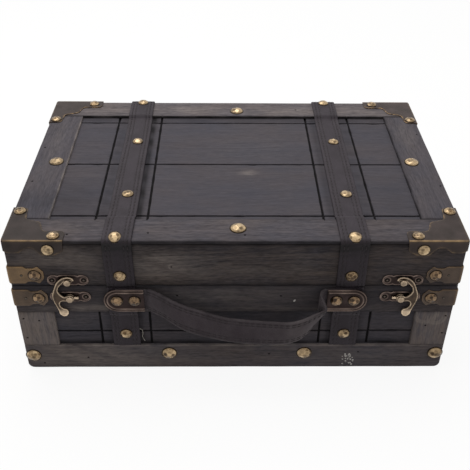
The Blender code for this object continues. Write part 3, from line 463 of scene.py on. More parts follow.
def boardPart(length, width, depth, seed, along=(), across=(), pits=(), patches=(), rings=(), clip=(0, 0),
              edge=None, edges=(0.3, 0.3, 0.3, 0.3), bleach=0.0, **marks):
    # A board with its face at height 0: the face is a height over a grid, the eased edges a quarter round,
    # less the grooves, less the pits (round dents) and a slight hand-planed wave.
    # along: grooves (across-place, from, to); across: grooves (along-place, from, to);
    # pits: (along, across, radius along, radius across, depth); clip: rounding of the two lower corners;
    # edges: wear of the start, end, lower and upper edge, below 0 for grime in a joint;
    # patches: (along, across, reach along, reach across, amount), pale above 0 and dark below, which is how
    # painted shadows are laid;
    # rings: (along, across, radius, line width, amount), arcs of a swirl, strongest towards the board's start
    edge = boardLook["rounding"] if edge is None else edge
    groove = boardLook["grooveWidth"] / 2
    cuts = [(place, groove) for place, low, high in across] + [(pit[0], pit[2]) for pit in pits]
    runs = [(place, groove) for place, low, high in along] + [(pit[1], pit[3]) for pit in pits]
    cuts += [(end, groove) for groovePlace in along for end in groovePlace[1:]]
    runs += [(end, groove) for groovePlace in across for end in groovePlace[1:]]
    for ringA, ringB, radius, line, amount in rings:
        cuts += [(ringA + shift * radius, radius / 4) for shift in (-1, -0.5, 0, 0.5, 1)]
        runs += [(ringB + shift * radius, radius / 4) for shift in (-1, -0.5, 0, 0.5, 1)]
    a = gridLines(length, edge, cuts)[:, None]
    b = gridLines(width, edge, runs)[None, :]
    flat = 0 * a + 0 * b
    fromSide = (a + flat, length - a + flat, b + flat, width - b + flat)
    wear = edge * (1 + wander(a, seed, 0.05, 0.3)) + flat
    outA = np.clip(1 - np.minimum(fromSide[0], fromSide[1]) / wear, 0, 1)
    outB = np.clip(1 - np.minimum(fromSide[2], fromSide[3]) / wear, 0, 1)
    drop = wear * (1 - np.sqrt(1 - np.minimum(1, outA**2 + outB**2)))
    height = wander(a, seed + 1, 0.11, 0.00008) * wander(b, seed + 2, 0.03, 1.0) - drop
    dark, rub = flat.copy(), flat + bleach
    for number, (place, low, high) in enumerate(along):
        cut, uneven = grooveCut(b - place, a, low, high, seed + number)
        height = np.minimum(height, -cut * boardLook["grooveDepth"] * uneven)
        dark = np.maximum(dark, cut)
    for number, (place, low, high) in enumerate(across):
        cut, uneven = grooveCut(a - place, b, low, high, seed + 20 + number)
        height = np.minimum(height, -cut * boardLook["grooveDepth"] * uneven)
        dark = np.maximum(dark, cut)
    for pitA, pitB, radiusA, radiusB, deep in pits:
        pit = smoothStep(1.6 * (1 - np.hypot((a - pitA) / radiusA, (b - pitB) / radiusB)))
        height = height - pit * deep
        dark = np.maximum(dark, pit)
    for number, (away, amount) in enumerate(zip(fromSide, edges)):
        run = a if number > 1 else b
        uneven = np.clip(0.75 + wander(run, seed + 5 + number, 0.025, 0.9), 0, 1) + flat
        line = np.exp(-np.maximum(away - edge * 0.4, 0) / boardLook["joint"])
        rub = rub + max(amount, 0) * line**2 * uneven
        dark = np.maximum(dark, max(-amount, 0) * line * (0.6 + 0.4 * uneven))
    for number, (placeA, placeB, reachA, reachB, amount) in enumerate(patches):
        spot = np.exp(-(((a - placeA) / reachA) ** 2) - ((b - placeB) / reachB) ** 2)
        spot = spot * np.clip(0.8 + wander(a + 1.7 * b, seed + 40 + number, 0.03, 0.35), 0, 1)
        rub = rub + max(amount, 0) * spot
        dark = 1 - (1 - dark) * (1 - max(-amount, 0) * spot)
    for ringA, ringB, radius, line, amount in rings:
        away = np.hypot(a - ringA, b - ringB)
        facing = np.cos(np.arctan2(b - ringB, a - ringA) + math.pi)
        mark = amount * bell(away - radius, line) * np.clip(0.55 + 0.9 * facing, 0, 1)
        rub = rub + np.maximum(mark, 0)
        dark = np.maximum(dark, -mark)
    top = np.stack((a + flat, b + flat, height), -1)
    for corner, radius in enumerate(clip):
        if radius:
            u = np.clip(1 - fromSide[corner] / radius, 0, 1)
            v = np.clip(1 - fromSide[2] / radius, 0, 1)
            shrink = np.maximum(u, v) / np.maximum(np.sqrt(u * u + v * v), 1e-9)
            inside = (u > 0) & (v > 0)
            moveA = np.where(inside, u * (1 - shrink) * radius, 0)
            top[..., 0] += moveA if corner == 0 else -moveA
            top[..., 1] += np.where(inside, v * (1 - shrink) * radius, 0)
    shift = np.random.default_rng(seed).uniform(0, 9, 2)
    extra = {name: marks.get(name, boardLook[name]) for name in ("warm", "tone", "grain")}
    face = gridPart(top, top[..., :2] + shift, flip=True, dark=dark, rub=np.clip(rub, 0, 1), **extra)
    rows, columns = top.shape[:2]
    index = np.arange(rows * columns).reshape(rows, columns)
    rim = np.concatenate((index[:, 0], index[-1, 1:], index[-2::-1, -1], index[0, -2:0:-1]))
    back = top.reshape(-1, 3)[rim].copy()
    back[:, 2] = -depth
    behind = np.arange(len(rim)) + rows * columns
    sides = np.stack((rim, behind, np.roll(behind, -1), np.roll(rim, -1)), -1).tolist()
    outward = back[:, :2] - top.reshape(-1, 3)[:, :2].mean(0)
    outward /= np.linalg.norm(outward, axis=1)[:, None]
    return dict(
        points=np.concatenate((face["points"], back)),
        faces=face["faces"] + sides + [behind[::-1].tolist()],
        uv=np.concatenate((face["uv"], back[:, :2] + shift + outward * depth)),
        inner=[False] * (len(face["faces"]) + len(sides)) + [True],
        marks={name: np.concatenate((mark, mark[rim])) for name, mark in face["marks"].items()},
    )


def wallBoard(side, low, high, face, depth, seed, upright=False, pits=(), along=(), across=(), patches=(),
              rings=(), **details):
    # a board on a wall between two corners; its grain runs along the wall, or upright. Grooves are given in
    # the wall's own directions, and pits, patches and rings as (world point, sizes) in the board's
    right, up = (np.array(v, float) for v in walls[side])
    out = np.cross(right, up)
    if upright:
        right, up = up, -right
    low, high = np.array(low), np.array(high)
    starts = [min(axis @ low, axis @ high) for axis in (right, up)]
    sizes = [abs(axis @ (high - low)) for axis in (right, up)]

    def local(spots):
        return [(right @ at - starts[0], up @ at - starts[1], *rest) for at, *rest in spots]

    along = [(place - starts[1], start - starts[0], end - starts[0]) for place, start, end in along]
    across = [(place - starts[0], start - starts[1], end - starts[1]) for place, start, end in across]
    part = boardPart(*sizes, depth, seed, along, across, local(pits), local(patches), local(rings), **details)
    origin = right * starts[0] + up * starts[1] + out * face
    return placed(part, right, up, out, origin)


def onFront(spots):
    # marks on the front, given as (x, z, sizes)
    return [((x, -trunk["halfY"], z), *rest) for x, z, *rest in spots]


def onTop(spots):
    # marks on the top, given as (x, y, sizes)
    return [((x, y, 0), *rest) for x, y, *rest in spots]


def brads(spots):
    # brads driven below the surface, as pits
    return [(*spot, boardLook["nailHole"], boardLook["nailHole"], boardLook["nailDepth"]) for spot in spots]


def besideStraps():
    # where the upright grooves lie, on both sides of each strap
    return [sign * trunk["strapX"] + side * baseLook["grooveOut"] for sign in (-1, 1) for side in (-1, 1)]


def addBoard(node, parts, lined=False):
    # a washed board under its node's name, with raw wood on its inner face where it is lined
    finishes = [washedWood, rawWood] if lined else [washedWood]
    addPiece(camel(node), node.split("_")[0], parts, finishes, [node])


baseLook = dict(
    grooveZ=0.039,
    grooveOut=0.0197,  # from the middle of a strap to the groove on each side
    grooveRun=(0.0255, 0.0612),  # ends of an upright groove
    grooveStop=(0.0242, 0.0182),  # from the end of a long and of a short panel to the end of its groove
    panelHalf=(0.1677, 0.1047),  # half the length of a long and of a short panel
    stileRun=(0.0251, 0.0613),
    railRuns=dict(top_rail=(0.0614, 0.0879), bottom_rail=(0.0, 0.0250)),
    railEdges=dict(top_rail=(0.2, 0.2, 0.25, -0.45), bottom_rail=(0.2, 0.2, -0.2, 0.55)),
    lowerCorners=(0.0048, 0.0048),  # rounding of the bottom rail's ends on the front and back
    # grain runs up a stile, so the lower and upper edges of its board are its left and right sides
    stileEdges=dict(left_stile=(-0.5, -0.5, -0.4, 0.2), right_stile=(-0.5, -0.5, 0.2, -0.4)),
    # brad holes on the front, as (x, z)
    holes=dict(
        top_rail=((-0.0450, 0.0777), (0.0349, 0.0774)),
        bottom_rail=((-0.1564, 0.0051), (-0.1200, 0.0112), (0.0279, 0.0150), (0.1008, 0.0171)),
        left_stile=((-0.1663, 0.0540), (-0.1544, 0.0519), (-0.1663, 0.0335)),
        right_stile=((0.1660, 0.0567), (0.1515, 0.0464), (0.1662, 0.0383)),
    ),
    # how the boards of the front differ from the rest
    front=dict(
        top_rail=dict(warm=0.35, tone=1.0, grain=0.6),
        bottom_rail=dict(warm=0.45, tone=1.33, grain=0.6),
        left_stile=dict(warm=0.9, tone=2.2, bleach=0.6, grain=0.65, edges=(-0.5, -0.5, 1.0, 0.2)),
        right_stile=dict(warm=1.0, tone=2.0, bleach=0.3, grain=0.4),
    ),
    # the swirl on the right stile: (x, z, radius, line width, amount)
    swirl=(
        (0.1500, 0.0588, 0.0080, 0.0010, 2.0), (0.1500, 0.0592, 0.0100, 0.0006, 0.9),
        (0.1590, 0.0560, 0.0075, 0.0009, 1.3), (0.1590, 0.0550, 0.0045, 0.0007, 1.2),
    ),
    # shadows and rubbed places on the front: (x, z, reach along, reach up, amount)
    strapShade=((-0.0125, -0.55), (0.0125, -0.3)),  # (off the strap's middle, amount)
    panelPatches=(
        (0, 0.0266, 1, 0.0028, -1.0), (0, 0.0605, 1, 0.0015, -0.35), (-0.13, 0.050, 0.02, 0.008, 0.2),
        (-0.03, 0.045, 0.03, 0.02, -0.25), (0.150, 0.045, 0.01, 0.02, -0.2),
    ),
    railPatches=dict(
        top_rail=(
            (0, 0.0875, 1, 0.0018, -0.2), (-0.115, 0.0655, 0.035, 0.0035, 0.8),
            (0.02, 0.0645, 0.08, 0.0025, 0.35), (-0.02, 0.0770, 0.06, 0.007, 0.4),
            (-0.1265, 0.0790, 0.0170, 0.0075, -0.55), (0.1265, 0.0790, 0.0170, 0.0075, -0.55),
            (-0.087, 0.0767, 0.0200, 0.0145, -0.5), (0.087, 0.0767, 0.0200, 0.0145, -0.5),
            (-0.155, 0.0767, 0.0170, 0.0105, -0.35), (0.155, 0.0767, 0.0170, 0.0105, -0.35),
        ),
        bottom_rail=(
            (-0.125, 0.0130, 0.060, 0.0120, 0.95), (-0.060, 0.0130, 0.05, 0.010, 0.25),
            (0.10, 0.012, 0.08, 0.012, 0.26), (0, 0.0, 1, 0.0016, -0.35),
        ),
    ),
)


def makeBase():
    # Four grooved panels with rails and stiles, and the bottom board
    look, halfX, halfY, recess = baseLook, trunk["halfX"], trunk["halfY"], trunk["recess"]
    shade = onFront(
        (sign * (trunk["strapX"] + off), 0.045, 0.0022, 1, amount)
        for off, amount in look["strapShade"] for sign in (-1, 1)
    )
    for number, side in enumerate(("front", "back", "left", "right")):
        long, isFront = side in ("front", "back"), side == "front"
        right = np.array(walls[side][0], float)
        span, stop = look["panelHalf"][not long], look["grooveStop"][not long]
        end, reach, face = (halfX, halfX, halfY) if long else (halfY, halfY - recess, halfX)
        grooves = dict(along=[(look["grooveZ"], stop - span, span - stop)])
        # on the other walls, a painted shadow along the foot of the panel, under the bottom rail's edge
        patches = onFront(look["panelPatches"]) if isFront else [((0, 0, 0.0262), 1, 0.0018, -0.7)]
        if long:
            grooves["across"] = [(x, *look["grooveRun"]) for x in besideStraps()]
            patches += shade
        panel = wallBoard(
            side, right * -span, right * span + (0, 0, look["railRuns"]["top_rail"][1]), face - recess,
            trunk["wall"] - recess, 100 + number, clip=(0.002, 0.002), patches=patches, grain=0.55,
            warm=0.1 if isFront else 0.3, tone=1.15 if isFront else 0.92, **grooves,
        )
        stiles = []
        for sign, name in ((-1, "left_stile"), (1, "right_stile")):
            ends = sorted((sign * (end - trunk["boardWidth"]), sign * reach))
            details = dict(warm=0.45, tone=1.1, edges=look["stileEdges"][name])
            if isFront:
                details.update(look["front"][name], pits=onFront(brads(look["holes"][name])))
                details["rings"] = onFront(look["swirl"]) if sign > 0 else ()
            low, high = (right * place + (0, 0, z) for place, z in zip(ends, look["stileRun"]))
            seed = 130 + number * 2 + (sign > 0)
            stiles.append(wallBoard(side, low, high, face, recess, seed, upright=True, **details))
            if isFront:
                addBoard(f"base_front_{name}", stiles[-1:])
        addBoard(f"base_{side}_panel", [panel] if isFront else [panel] + stiles, lined=True)
        for name, (bottom, upper) in look["railRuns"].items():
            details = dict(warm=0.5, tone=0.95, edges=look["railEdges"][name])
            if isFront:
                details.update(look["front"][name], pits=onFront(brads(look["holes"][name])))
                details["patches"] = onFront(look["railPatches"][name])
            if name == "bottom_rail" and long:
                details["clip"] = look["lowerCorners"]
            rail = wallBoard(
                side, right * -reach + (0, 0, bottom), right * reach + (0, 0, upper), face, recess,
                160 + number * 2 + (name == "top_rail"), **details,
            )
            addBoard(f"base_{side}_{name}", [rail])
    low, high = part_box("bottom_board")
    floor = wallBoard("top", low, high, high[2], high[2] - low[2], 190)
    addPiece("bottomBoard", "base", [floor], [rawWood], ["bottom_board"])


lidLook = dict(
    bottom=0.0885,
    sideHalf=0.1050,  # half the length of a side board
    boardEdges=(0.2, 0.2, -0.4, -1.0),
    boards=dict(
        front=dict(warm=0.75, tone=0.96, grain=0.85), back=dict(warm=0.6),
        left=dict(warm=0.5), right=dict(warm=0.5),
    ),
    # a knot on the front board: (x, z, radius, line width, amount)
    knot=((-0.0477, 0.1062, 0.0024, 0.0005, 0.5), (-0.0477, 0.1062, 0.0006, 0.0005, -0.8)),
    panelHalf=(0.1619, 0.1049),
    panelDepth=0.0045,
    grooveY=(-0.0772, 0.0, 0.0750),
    grooveEnds=(0.1435, 0.0865),  # how far the grooves run along and across, from the middle
    # where they are sawn a little way onto the rails: past the rail's edge, half sizes and depth
    sawCut=(0.0003, 0.0008, 0.0016, 0.0011),
    railFrom=0.0845,  # inner edge of a rail and of a stile on the top, from the middle
    stileFrom=0.1415,
    stileHalf=0.0844,
    rails=dict(
        front=dict(tone=1.02, grain=0.7, edges=(0.2, 0.2, -0.35, -0.5)),
        # the back rail lighter and paler than the front one: a painted sheen
        back=dict(tone=1.22, bleach=0.14, grain=0.9, edges=(0.2, 0.2, -0.9, 0.3)),
    ),
    # the board's upper edge is its left side: on the left stile the inner edge is worn pale
    stileEdges=dict(left=(-0.7, -0.7, 0.9, 0.3), right=(-0.7, -0.7, 0.2, -0.7)),
    # shadows and rubbed places, as (x, y or z, reach along, reach across, amount)
    frontPatches=(
        (0, 0.1273, 1, 0.0014, -0.8), (0, 0.1255, 1, 0.0040, -0.2), (-0.060, 0.1060, 0.034, 0.0110, 0.75),
        (-0.050, 0.1145, 0.020, 0.0040, 0.5), (-0.005, 0.1050, 0.030, 0.0070, 0.10),
        (0.050, 0.1080, 0.012, 0.010, 0.14), (-0.134, 0.115, 0.030, 0.009, 0.75),
        (-0.110, 0.100, 0.010, 0.012, 0.15), (-0.0725, 0.1268, 0.0020, 0.0012, 0.9),
        (0.02, 0.1030, 0.035, 0.003, 0.25),
        (-0.087, 0.110, 0.0145, 1, -0.4), (0.087, 0.110, 0.0145, 1, -0.4),
        (0.01, 0.0890, 0.10, 0.0022, -0.45),
        (-0.1265, 0.0942, 0.0170, 0.0070, -0.5), (0.1265, 0.0942, 0.0170, 0.0070, -0.5),
        (-0.155, 0.0987, 0.0170, 0.0105, -0.3), (0.155, 0.0987, 0.0170, 0.0105, -0.3),
    ),
    panelPatches=(
        (0.012, -0.0130, 0.0060, 0.0040, 0.40), (0.0085, -0.0150, 0.0050, 0.0020, 0.25),
        (0, 0.0795, 1, 0.0028, -0.3), (0, 0.0838, 1, 0.0015, -0.5), (-0.130, -0.060, 0.025, 0.030, -0.3),
        (0.125, -0.060, 0.015, 0.030, -0.15), (0.01, 0.03, 0.04, 0.03, 0.06),
        (-0.0742, 0, 0.0026, 1, -1.0), (0.0735, 0, 0.003, 1, -0.4),
        (-0.102, 0, 0.0050, 1, -0.3), (0.102, 0, 0.0050, 1, -0.3),
    ),
    railPatches=dict(
        front=((-0.125, -0.095, 0.02, 0.006, 0.12), (-0.01, -0.088, 0.06, 0.003, 0.10),
               (0, -0.1125, 1, 0.001, -0.3)),
        back=((-0.045, 0.098, 0.020, 0.007, 0.42), (0.055, 0.095, 0.025, 0.008, 0.34),
              (-0.12, 0.098, 0.03, 0.01, 0.15), (0.12, 0.095, 0.03, 0.01, 0.2)),
    ),
    stilePatches=dict(
        left=((-0.157, 0.030, 0.05, 0.006, 0.14), (-0.155, -0.060, 0.015, 0.030, -0.3)),
        right=((0.155, 0.050, 0.030, 0.010, 0.16),),
    ),
    holes=dict(
        front=((-0.1245, -0.1043), (0.0065, -0.1049), (-0.0652, -0.1025)), back=((0.0595, 0.0985),),
        left=((-0.1655, 0.0248), (-0.1650, -0.0310)), right=((0.1672, -0.0371), (0.1660, 0.0500)),
    ),
)


def makeLid():
    # The lid's four walls, its grooved panel, and the rails and stiles on top
    look, halfX, halfY, height, recess = (
        lidLook, trunk["halfX"], trunk["halfY"], trunk["height"], trunk["recess"]
    )
    for number, (side, details) in enumerate(look["boards"].items()):
        long = side in ("front", "back")
        right = np.array(walls[side][0], float) * (halfX if long else look["sideHalf"])
        if side == "front":
            details = dict(details, patches=onFront(look["frontPatches"]), rings=onFront(look["knot"]))
        board = wallBoard(
            side, (0, 0, look["bottom"]) - right, (0, 0, height - recess + trunk["gap"]) + right,
            halfY if long else halfX, trunk["wall"], 200 + number, edges=look["boardEdges"], **details,
        )
        addBoard(f"lid_{side}_board", [board], lined=True)
    (panelX, panelY), (endX, endY) = look["panelHalf"], look["grooveEnds"]
    panel = wallBoard(
        "top", (-panelX, -panelY, 0), (panelX, panelY, 0), height - recess, look["panelDepth"], 220,
        along=[(y, -endX, endX) for y in look["grooveY"]], across=[(x, -endY, endY) for x in besideStraps()],
        patches=onTop(look["panelPatches"]), warm=0.05, tone=0.97, grain=0.32,
    )
    addBoard("lid_top_panel", [panel], lined=True)
    for sign, side in ((-1, "front"), (1, "back")):
        near, far = sorted((sign * look["railFrom"], sign * halfY))
        past, *cut = look["sawCut"]
        cuts = [(x, sign * (look["railFrom"] + past), *cut) for x in besideStraps()]
        rail = wallBoard(
            "top", (-halfX, near, 0), (halfX, far, 0), height, recess, 230 + sign, warm=0.3, edge=0.0006,
            pits=onTop(cuts + brads(look["holes"][side])), patches=onTop(look["railPatches"][side]),
            **look["rails"][side],
        )
        addBoard(f"lid_top_{side}_rail", [rail])
    for sign, side in ((-1, "left"), (1, "right")):
        near, far = sorted((sign * look["stileFrom"], sign * halfX))
        stile = wallBoard(
            "top", (near, -look["stileHalf"], 0), (far, look["stileHalf"], 0), height, recess, 240 + sign,
            upright=True, pits=onTop(brads(look["holes"][side])), patches=onTop(look["stilePatches"][side]),
            edges=look["stileEdges"][side], warm=0.15, tone=1.03, grain=0.5, edge=0.0006,
        )
        addBoard(f"lid_top_{side}_stile", [stile])


makeBase()
makeLid()
print("boards made")


# Domed nails

nailLook = dict(
    small=(0.00465, 0.0024),  # radius and height
    big=(0.0059, 0.0030),
    steps=44,
    rings=15,
    sunk=0.0005,
    ridge=0.05,  # width of the worn line between two facets, as a share of the height
    # facets in each ring: how many, how far out, and how deep they are cut as shares of radius and height
    facets=((1, 0.12, 0.06), (4, 0.52, 0.08), (6, 0.84, 0.06)),
    collar=1.1,  # dark ring round the foot, as a share of the radius
)


def turnedPart(profile, steps, **marks):
    # a profile of (radius, height) carried round the Z axis, its first and last points on the axis or closed
    profile = np.array(profile, float)
    turn = np.linspace(0, 2 * math.pi, steps, endpoint=False)
    radius, height = profile[:, :1], profile[:, 1:]
    points = np.stack((radius * np.cos(turn), radius * np.sin(turn), height + 0 * turn), -1)
    return gridPart(points, points[..., :2] + height[..., None] * 0.7, closed=True, flip=True, **marks)


def nailPart(kind, seed, wear):
    # A hammered nail head. A dome, height H (1 - s^2)^0.6 at s radii from the middle, is cut by flat facets:
    # planes that would touch it at scattered points, each let in a little. The surface is the lowest of
    # them all; ridges between facets are worn bright, and the foot is dark and sunk in what it holds down.
    # Each facet has a tone of its own, partly patina and partly painted glints; the dome's edge is darker,
    # partly patina and partly painted shade; wear above 0 adds a painted highlight and below 0 painted shade
    radius, height = nailLook[kind]
    draw = np.random.default_rng(seed)
    share = np.sin(np.linspace(0, math.pi / 2, nailLook["rings"]))[:, None]
    turn = np.linspace(0, 2 * math.pi, nailLook["steps"], endpoint=False)[None, :]
    x, y = share * np.cos(turn), share * np.sin(turn)
    dome = (1 - share**2) ** 0.6 + 0 * turn
    planes, shades = [dome], [0.35]
    for count, out, deep in nailLook["facets"]:
        for number in range(count):
            reach = out * draw.uniform(0.85, 1.12)
            angle = (number + draw.uniform(-0.25, 0.25)) * 2 * math.pi / count + out * 9
            level = (1 - reach**2) ** 0.6
            slope = -1.2 * reach * (1 - reach**2) ** -0.4
            ahead = x * math.cos(angle) + y * math.sin(angle) - reach
            planes.append(level + slope * ahead - deep * draw.uniform(0.6, 1.4))
            # each facet a tone of its own: partly patina, partly painted glints
            shades.append(draw.uniform(0.0, 1.0) ** 2)
    planes = np.stack(planes)
    order = np.sort(planes, axis=0)
    ridge = np.exp(-(order[1] - order[0]) / nailLook["ridge"])
    shade = np.array(shades)[np.argmin(planes, axis=0)]
    level = np.maximum(order[0], 0) * height
    points = np.stack((x * radius, y * radius, level), -1)
    foot = points[-1:] * (nailLook["collar"], nailLook["collar"], 0)
    points = np.concatenate((points, foot + (0, 0, 0.00012), foot - (0, 0, nailLook["sunk"]),
                             foot * 0 - (0, 0, nailLook["sunk"])))
    # the dome's edge darker: partly patina, partly painted shade
    rim = smoothStep((share - 0.93) / 0.07)
    rub = np.clip(0.4 * ridge + 0.9 * shade - 0.1 + wear, 0, 1) * (1 - 0.8 * rim)
    dark = np.maximum((1 - ridge) * (0.55 - 2 * shade).clip(0, 1), rim * 0.8)
    last = np.ones((3, x.shape[1]))
    return gridPart(
        points, closed=True, flip=True,
        dark=np.concatenate((dark, last)), rub=np.concatenate((rub, last * 0)),
    )


def nailAt(kind, seed, place, out, wear=0.0):
    # a nail head with its base at a point and its dome pointing out; its wear adds a painted highlight above
    # 0 and painted shade below
    out = np.array(out, float)
    right = np.array((0, 0, 1.0)) if abs(out[2]) < 0.5 else np.array((1.0, 0, 0))
    turn = seed * 2.4
    up = np.cross(out, right)
    right = right * math.cos(turn) + up * math.sin(turn)
    return placed(nailPart(kind, seed, wear), right, np.cross(out, right), out, place)


# Leather straps

strapLook = dict(
    width=0.022,
    thick=0.0015,
    crown=0.0003,
    edge=0.0006,  # rounding of its edges
    worn=0.12,  # how pale its edges are rubbed
    seams=(0.0030, 0.0058),  # two rows of stitches, in from each edge
    pitch=0.0045,  # from one stitch to the next
    stitch=(0.0030, 0.0010, 0.0005),  # length, width, height
    bend=0.0026,
    slope=0.0030,
    step=0.0012,  # between the stations of a band
    lidEnd=0.0888,  # height of the ends of the strap on the lid
    baseEnds=(0.0253, 0.0876),  # and of the two ends of a strap on the base
    railFoot=0.0611,  # where a strap on the base has stepped out on the top rail
    seamNail=0.0108,  # above the seam
    bendNail=(-0.0015, 0.0026, -0.0003),  # off the left strap's middle, back from the front, off the face
    backNail=0.0045,  # in from the back
    topNails=(0.0635, 0.1490),  # back from the front
    topNailsOff=0.0014,
    baseNail=0.038,
    # wrinkles, darkened with painted shade where the strap folds over the edge: how far under the front edge
    # of the top, reach and depth; and one at the end
    creases=((0.0050, 0.0034, 2.2), (0.0120, 0.0012, 0.5)),
    endCrease=(0.001, 0.002, 0.8),
)


seamChannel = dict(width=0.0006, depth=0.00025)  # the hollow that a row of stitches lies in


def bandProfile(look):
    # The section of a leather band as (across, height): crowned, with a channel along each row of stitches
    # as a bell-shaped hollow, rounded edges and a flat back
    half, thick, edge = look["width"] / 2, look["thick"], look["edge"]
    across = [np.linspace(0, half - edge, 11)]
    across += [half - seam + 0.0002 * np.array([-3.2, -1.6, 0, 1.6, 3.2]) for seam in look["seams"]]
    across = np.unique(np.round(np.concatenate(across), 5))
    across = across[(across >= 0) & (across <= half - edge)]
    across = np.concatenate((-across[:0:-1], across))
    fromEdge = half - np.abs(across)
    channel = sum(bell(fromEdge - seam, seamChannel["width"]) for seam in look["seams"])
    height = thick + look["crown"] * (1 - (across / half) ** 2) - seamChannel["depth"] * channel
    turn = np.radians(np.linspace(15, 165, 6))
    rightEdge = np.stack((half - edge + edge * np.sin(turn), thick / 2 + (thick / 2) * np.cos(turn)), -1)
    leftEdge = rightEdge[::-1] * (-1, 1)
    back = np.array([[half - edge, 0], [0, 0], [-(half - edge), 0]])
    section = np.concatenate((np.stack((across, height), -1), rightEdge, back, leftEdge))
    between = bell(fromEdge - sum(look["seams"]) / 2, seamChannel["width"])
    rub = np.exp(-fromEdge / 0.0008) * look["worn"] + between * 0.12
    rub = np.concatenate((rub, np.full(15, look["worn"])))
    # the stitch channels a little darker, and painted shade on the rounded edges
    dark = np.concatenate((channel * 0.3, np.full(6, 0.4), np.zeros(3), np.full(6, 0.4)))
    return section, rub, dark


def carried(centre, across, out, section, length, rub, dark, seed, creases=()):
    # A section carried along a path: at each station its points lie along the across and out directions.
    # creases: (how far along, reach, amount), uneven wrinkles pressed in a little and darkened with painted
    # shade, deepest near the edges
    side = np.abs(section[:, 0]) / np.abs(section[:, 0]).max()
    creaseShade = np.zeros((len(length), len(section)))
    for place, reach, amount in creases:
        near = np.exp(-(((length - place) / reach) ** 2))[:, None]
        lines = np.sin((length[:, None] + 0.2 * section[None, :, 0]) * 2 * math.pi / 0.0046 + seed)
        creaseShade += amount * near * (0.7 + 0.3 * side[None] ** 2) * (0.75 + 0.25 * lines)
    dark = np.clip(dark[None] + creaseShade, 0, 1)
    points = (
        centre[:, None]
        + across[:, None] * section[None, :, :1]
        + out[:, None] * (section[None, :, 1:] - 0.0002 * creaseShade[..., None] * (section[None, :, 1:] > 0))
    )
    uv = np.stack((length[:, None] + 0 * section[None, :, 0], section[None, :, 0] + 0 * length[:, None]), -1)
    uneven = np.clip(0.55 + wander(length, seed, 0.03, 0.6), 0, 1)[:, None]
    part = gridPart(points, uv + seed * 0.37, closed=True, flip=True, rub=rub * uneven, dark=dark)
    rows, columns = points.shape[:2]
    part["faces"] += [list(range(columns)), list(range((rows - 1) * columns, rows * columns))[::-1]]
    return part


def stitches(centre, across, out, length, offset, level):
    # A row of stitches: short rounded bars, each laid at its place along the path. A bar's section shrinks
    # to nothing at its ends as the fourth root of 1 - p^4
    pitch, size = strapLook["pitch"], strapLook["stitch"]
    places = np.arange(pitch, length[-1] - pitch * 0.7, pitch)
    middle, side, up, ahead = (
        np.stack([np.interp(places, length, vectors[:, i]) for i in range(3)], -1)
        for vectors in (centre, across, out, np.gradient(centre, axis=0))
    )
    run = np.array([-1, -0.86, -0.4, 0.4, 0.86, 1])
    full = np.sqrt(np.sqrt(np.clip(1 - run**4, 0, 1)))
    turn = np.linspace(0, 2 * math.pi, 6, endpoint=False)
    bar = np.stack((
        run[:, None] * size[0] / 2 + 0 * turn,
        full[:, None] * size[1] / 2 * np.cos(turn),
        full[:, None] * size[2] / 2 * np.sin(turn),
    ), -1)
    middle = middle + side * offset + up * level
    points = (
        middle[:, None, None]
        + unit(ahead)[:, None, None] * bar[None, :, :, :1]
        + side[:, None, None] * bar[None, :, :, 1:2]
        + up[:, None, None] * bar[None, :, :, 2:]
    )
    count, rows, columns = points.shape[:3]
    one = gridPart(bar, closed=True)
    faces = np.array(one["faces"])[None] + (np.arange(count) * rows * columns)[:, None, None]
    uv = np.broadcast_to(bar[None, ..., :2], (count, rows, columns, 2)) + places[:, None, None, None]
    return dict(
        points=points.reshape(-1, 3), faces=faces.reshape(-1, 4).tolist(), uv=uv.reshape(-1, 2), marks={}
    )


def strapPieces(node, x, corners, seed, nails, creases=()):
    # One strap along a path of (y, z) corners of its back, its stitches, and the nails that hold it:
    # nails are (off its middle, y, z, direction out)
    name, body = camel(node), node.split("_")[0]
    rounded = roundedLine(corners, [strapLook["bend"]] * (len(corners) - 2), 7)
    path = divided(rounded, strapLook["step"], round, 0.0001)
    ahead = unit(np.gradient(path, axis=0))
    length = runLength(path)
    flat = np.zeros(len(path))
    centre = np.stack((x + wander(length, seed, 0.15, 0.00035), path[:, 0], path[:, 1]), -1)
    out = np.stack((flat, -ahead[:, 1], ahead[:, 0]), -1)
    across = np.stack((flat - 1, flat, flat), -1)
    section, rub, dark = bandProfile(strapLook)
    band = carried(centre, across, out, section, length, rub, dark, seed, creases)
    addPiece(name, body, [band], [strapLeather], [node], sharp=60)
    level = strapLook["thick"] + 0.00005
    rows = [
        stitches(centre, across, out, length, side * (strapLook["width"] / 2 - seam), level)
        for side in (-1, 1)
        for seam in strapLook["seams"]
    ]
    addPiece(f"{name}Stitches", body, rows, [thread])
    # nails that face up get a painted highlight, the others painted shade
    heads = [
        nailAt("small", seed * 10 + number, (x + off, y, z), direction, 0.15 if direction[2] > 0.9 else -0.1)
        for number, (off, y, z, direction) in enumerate(nails)
    ]
    addPiece(f"{name}Nails", body, heads, [nailBrass])


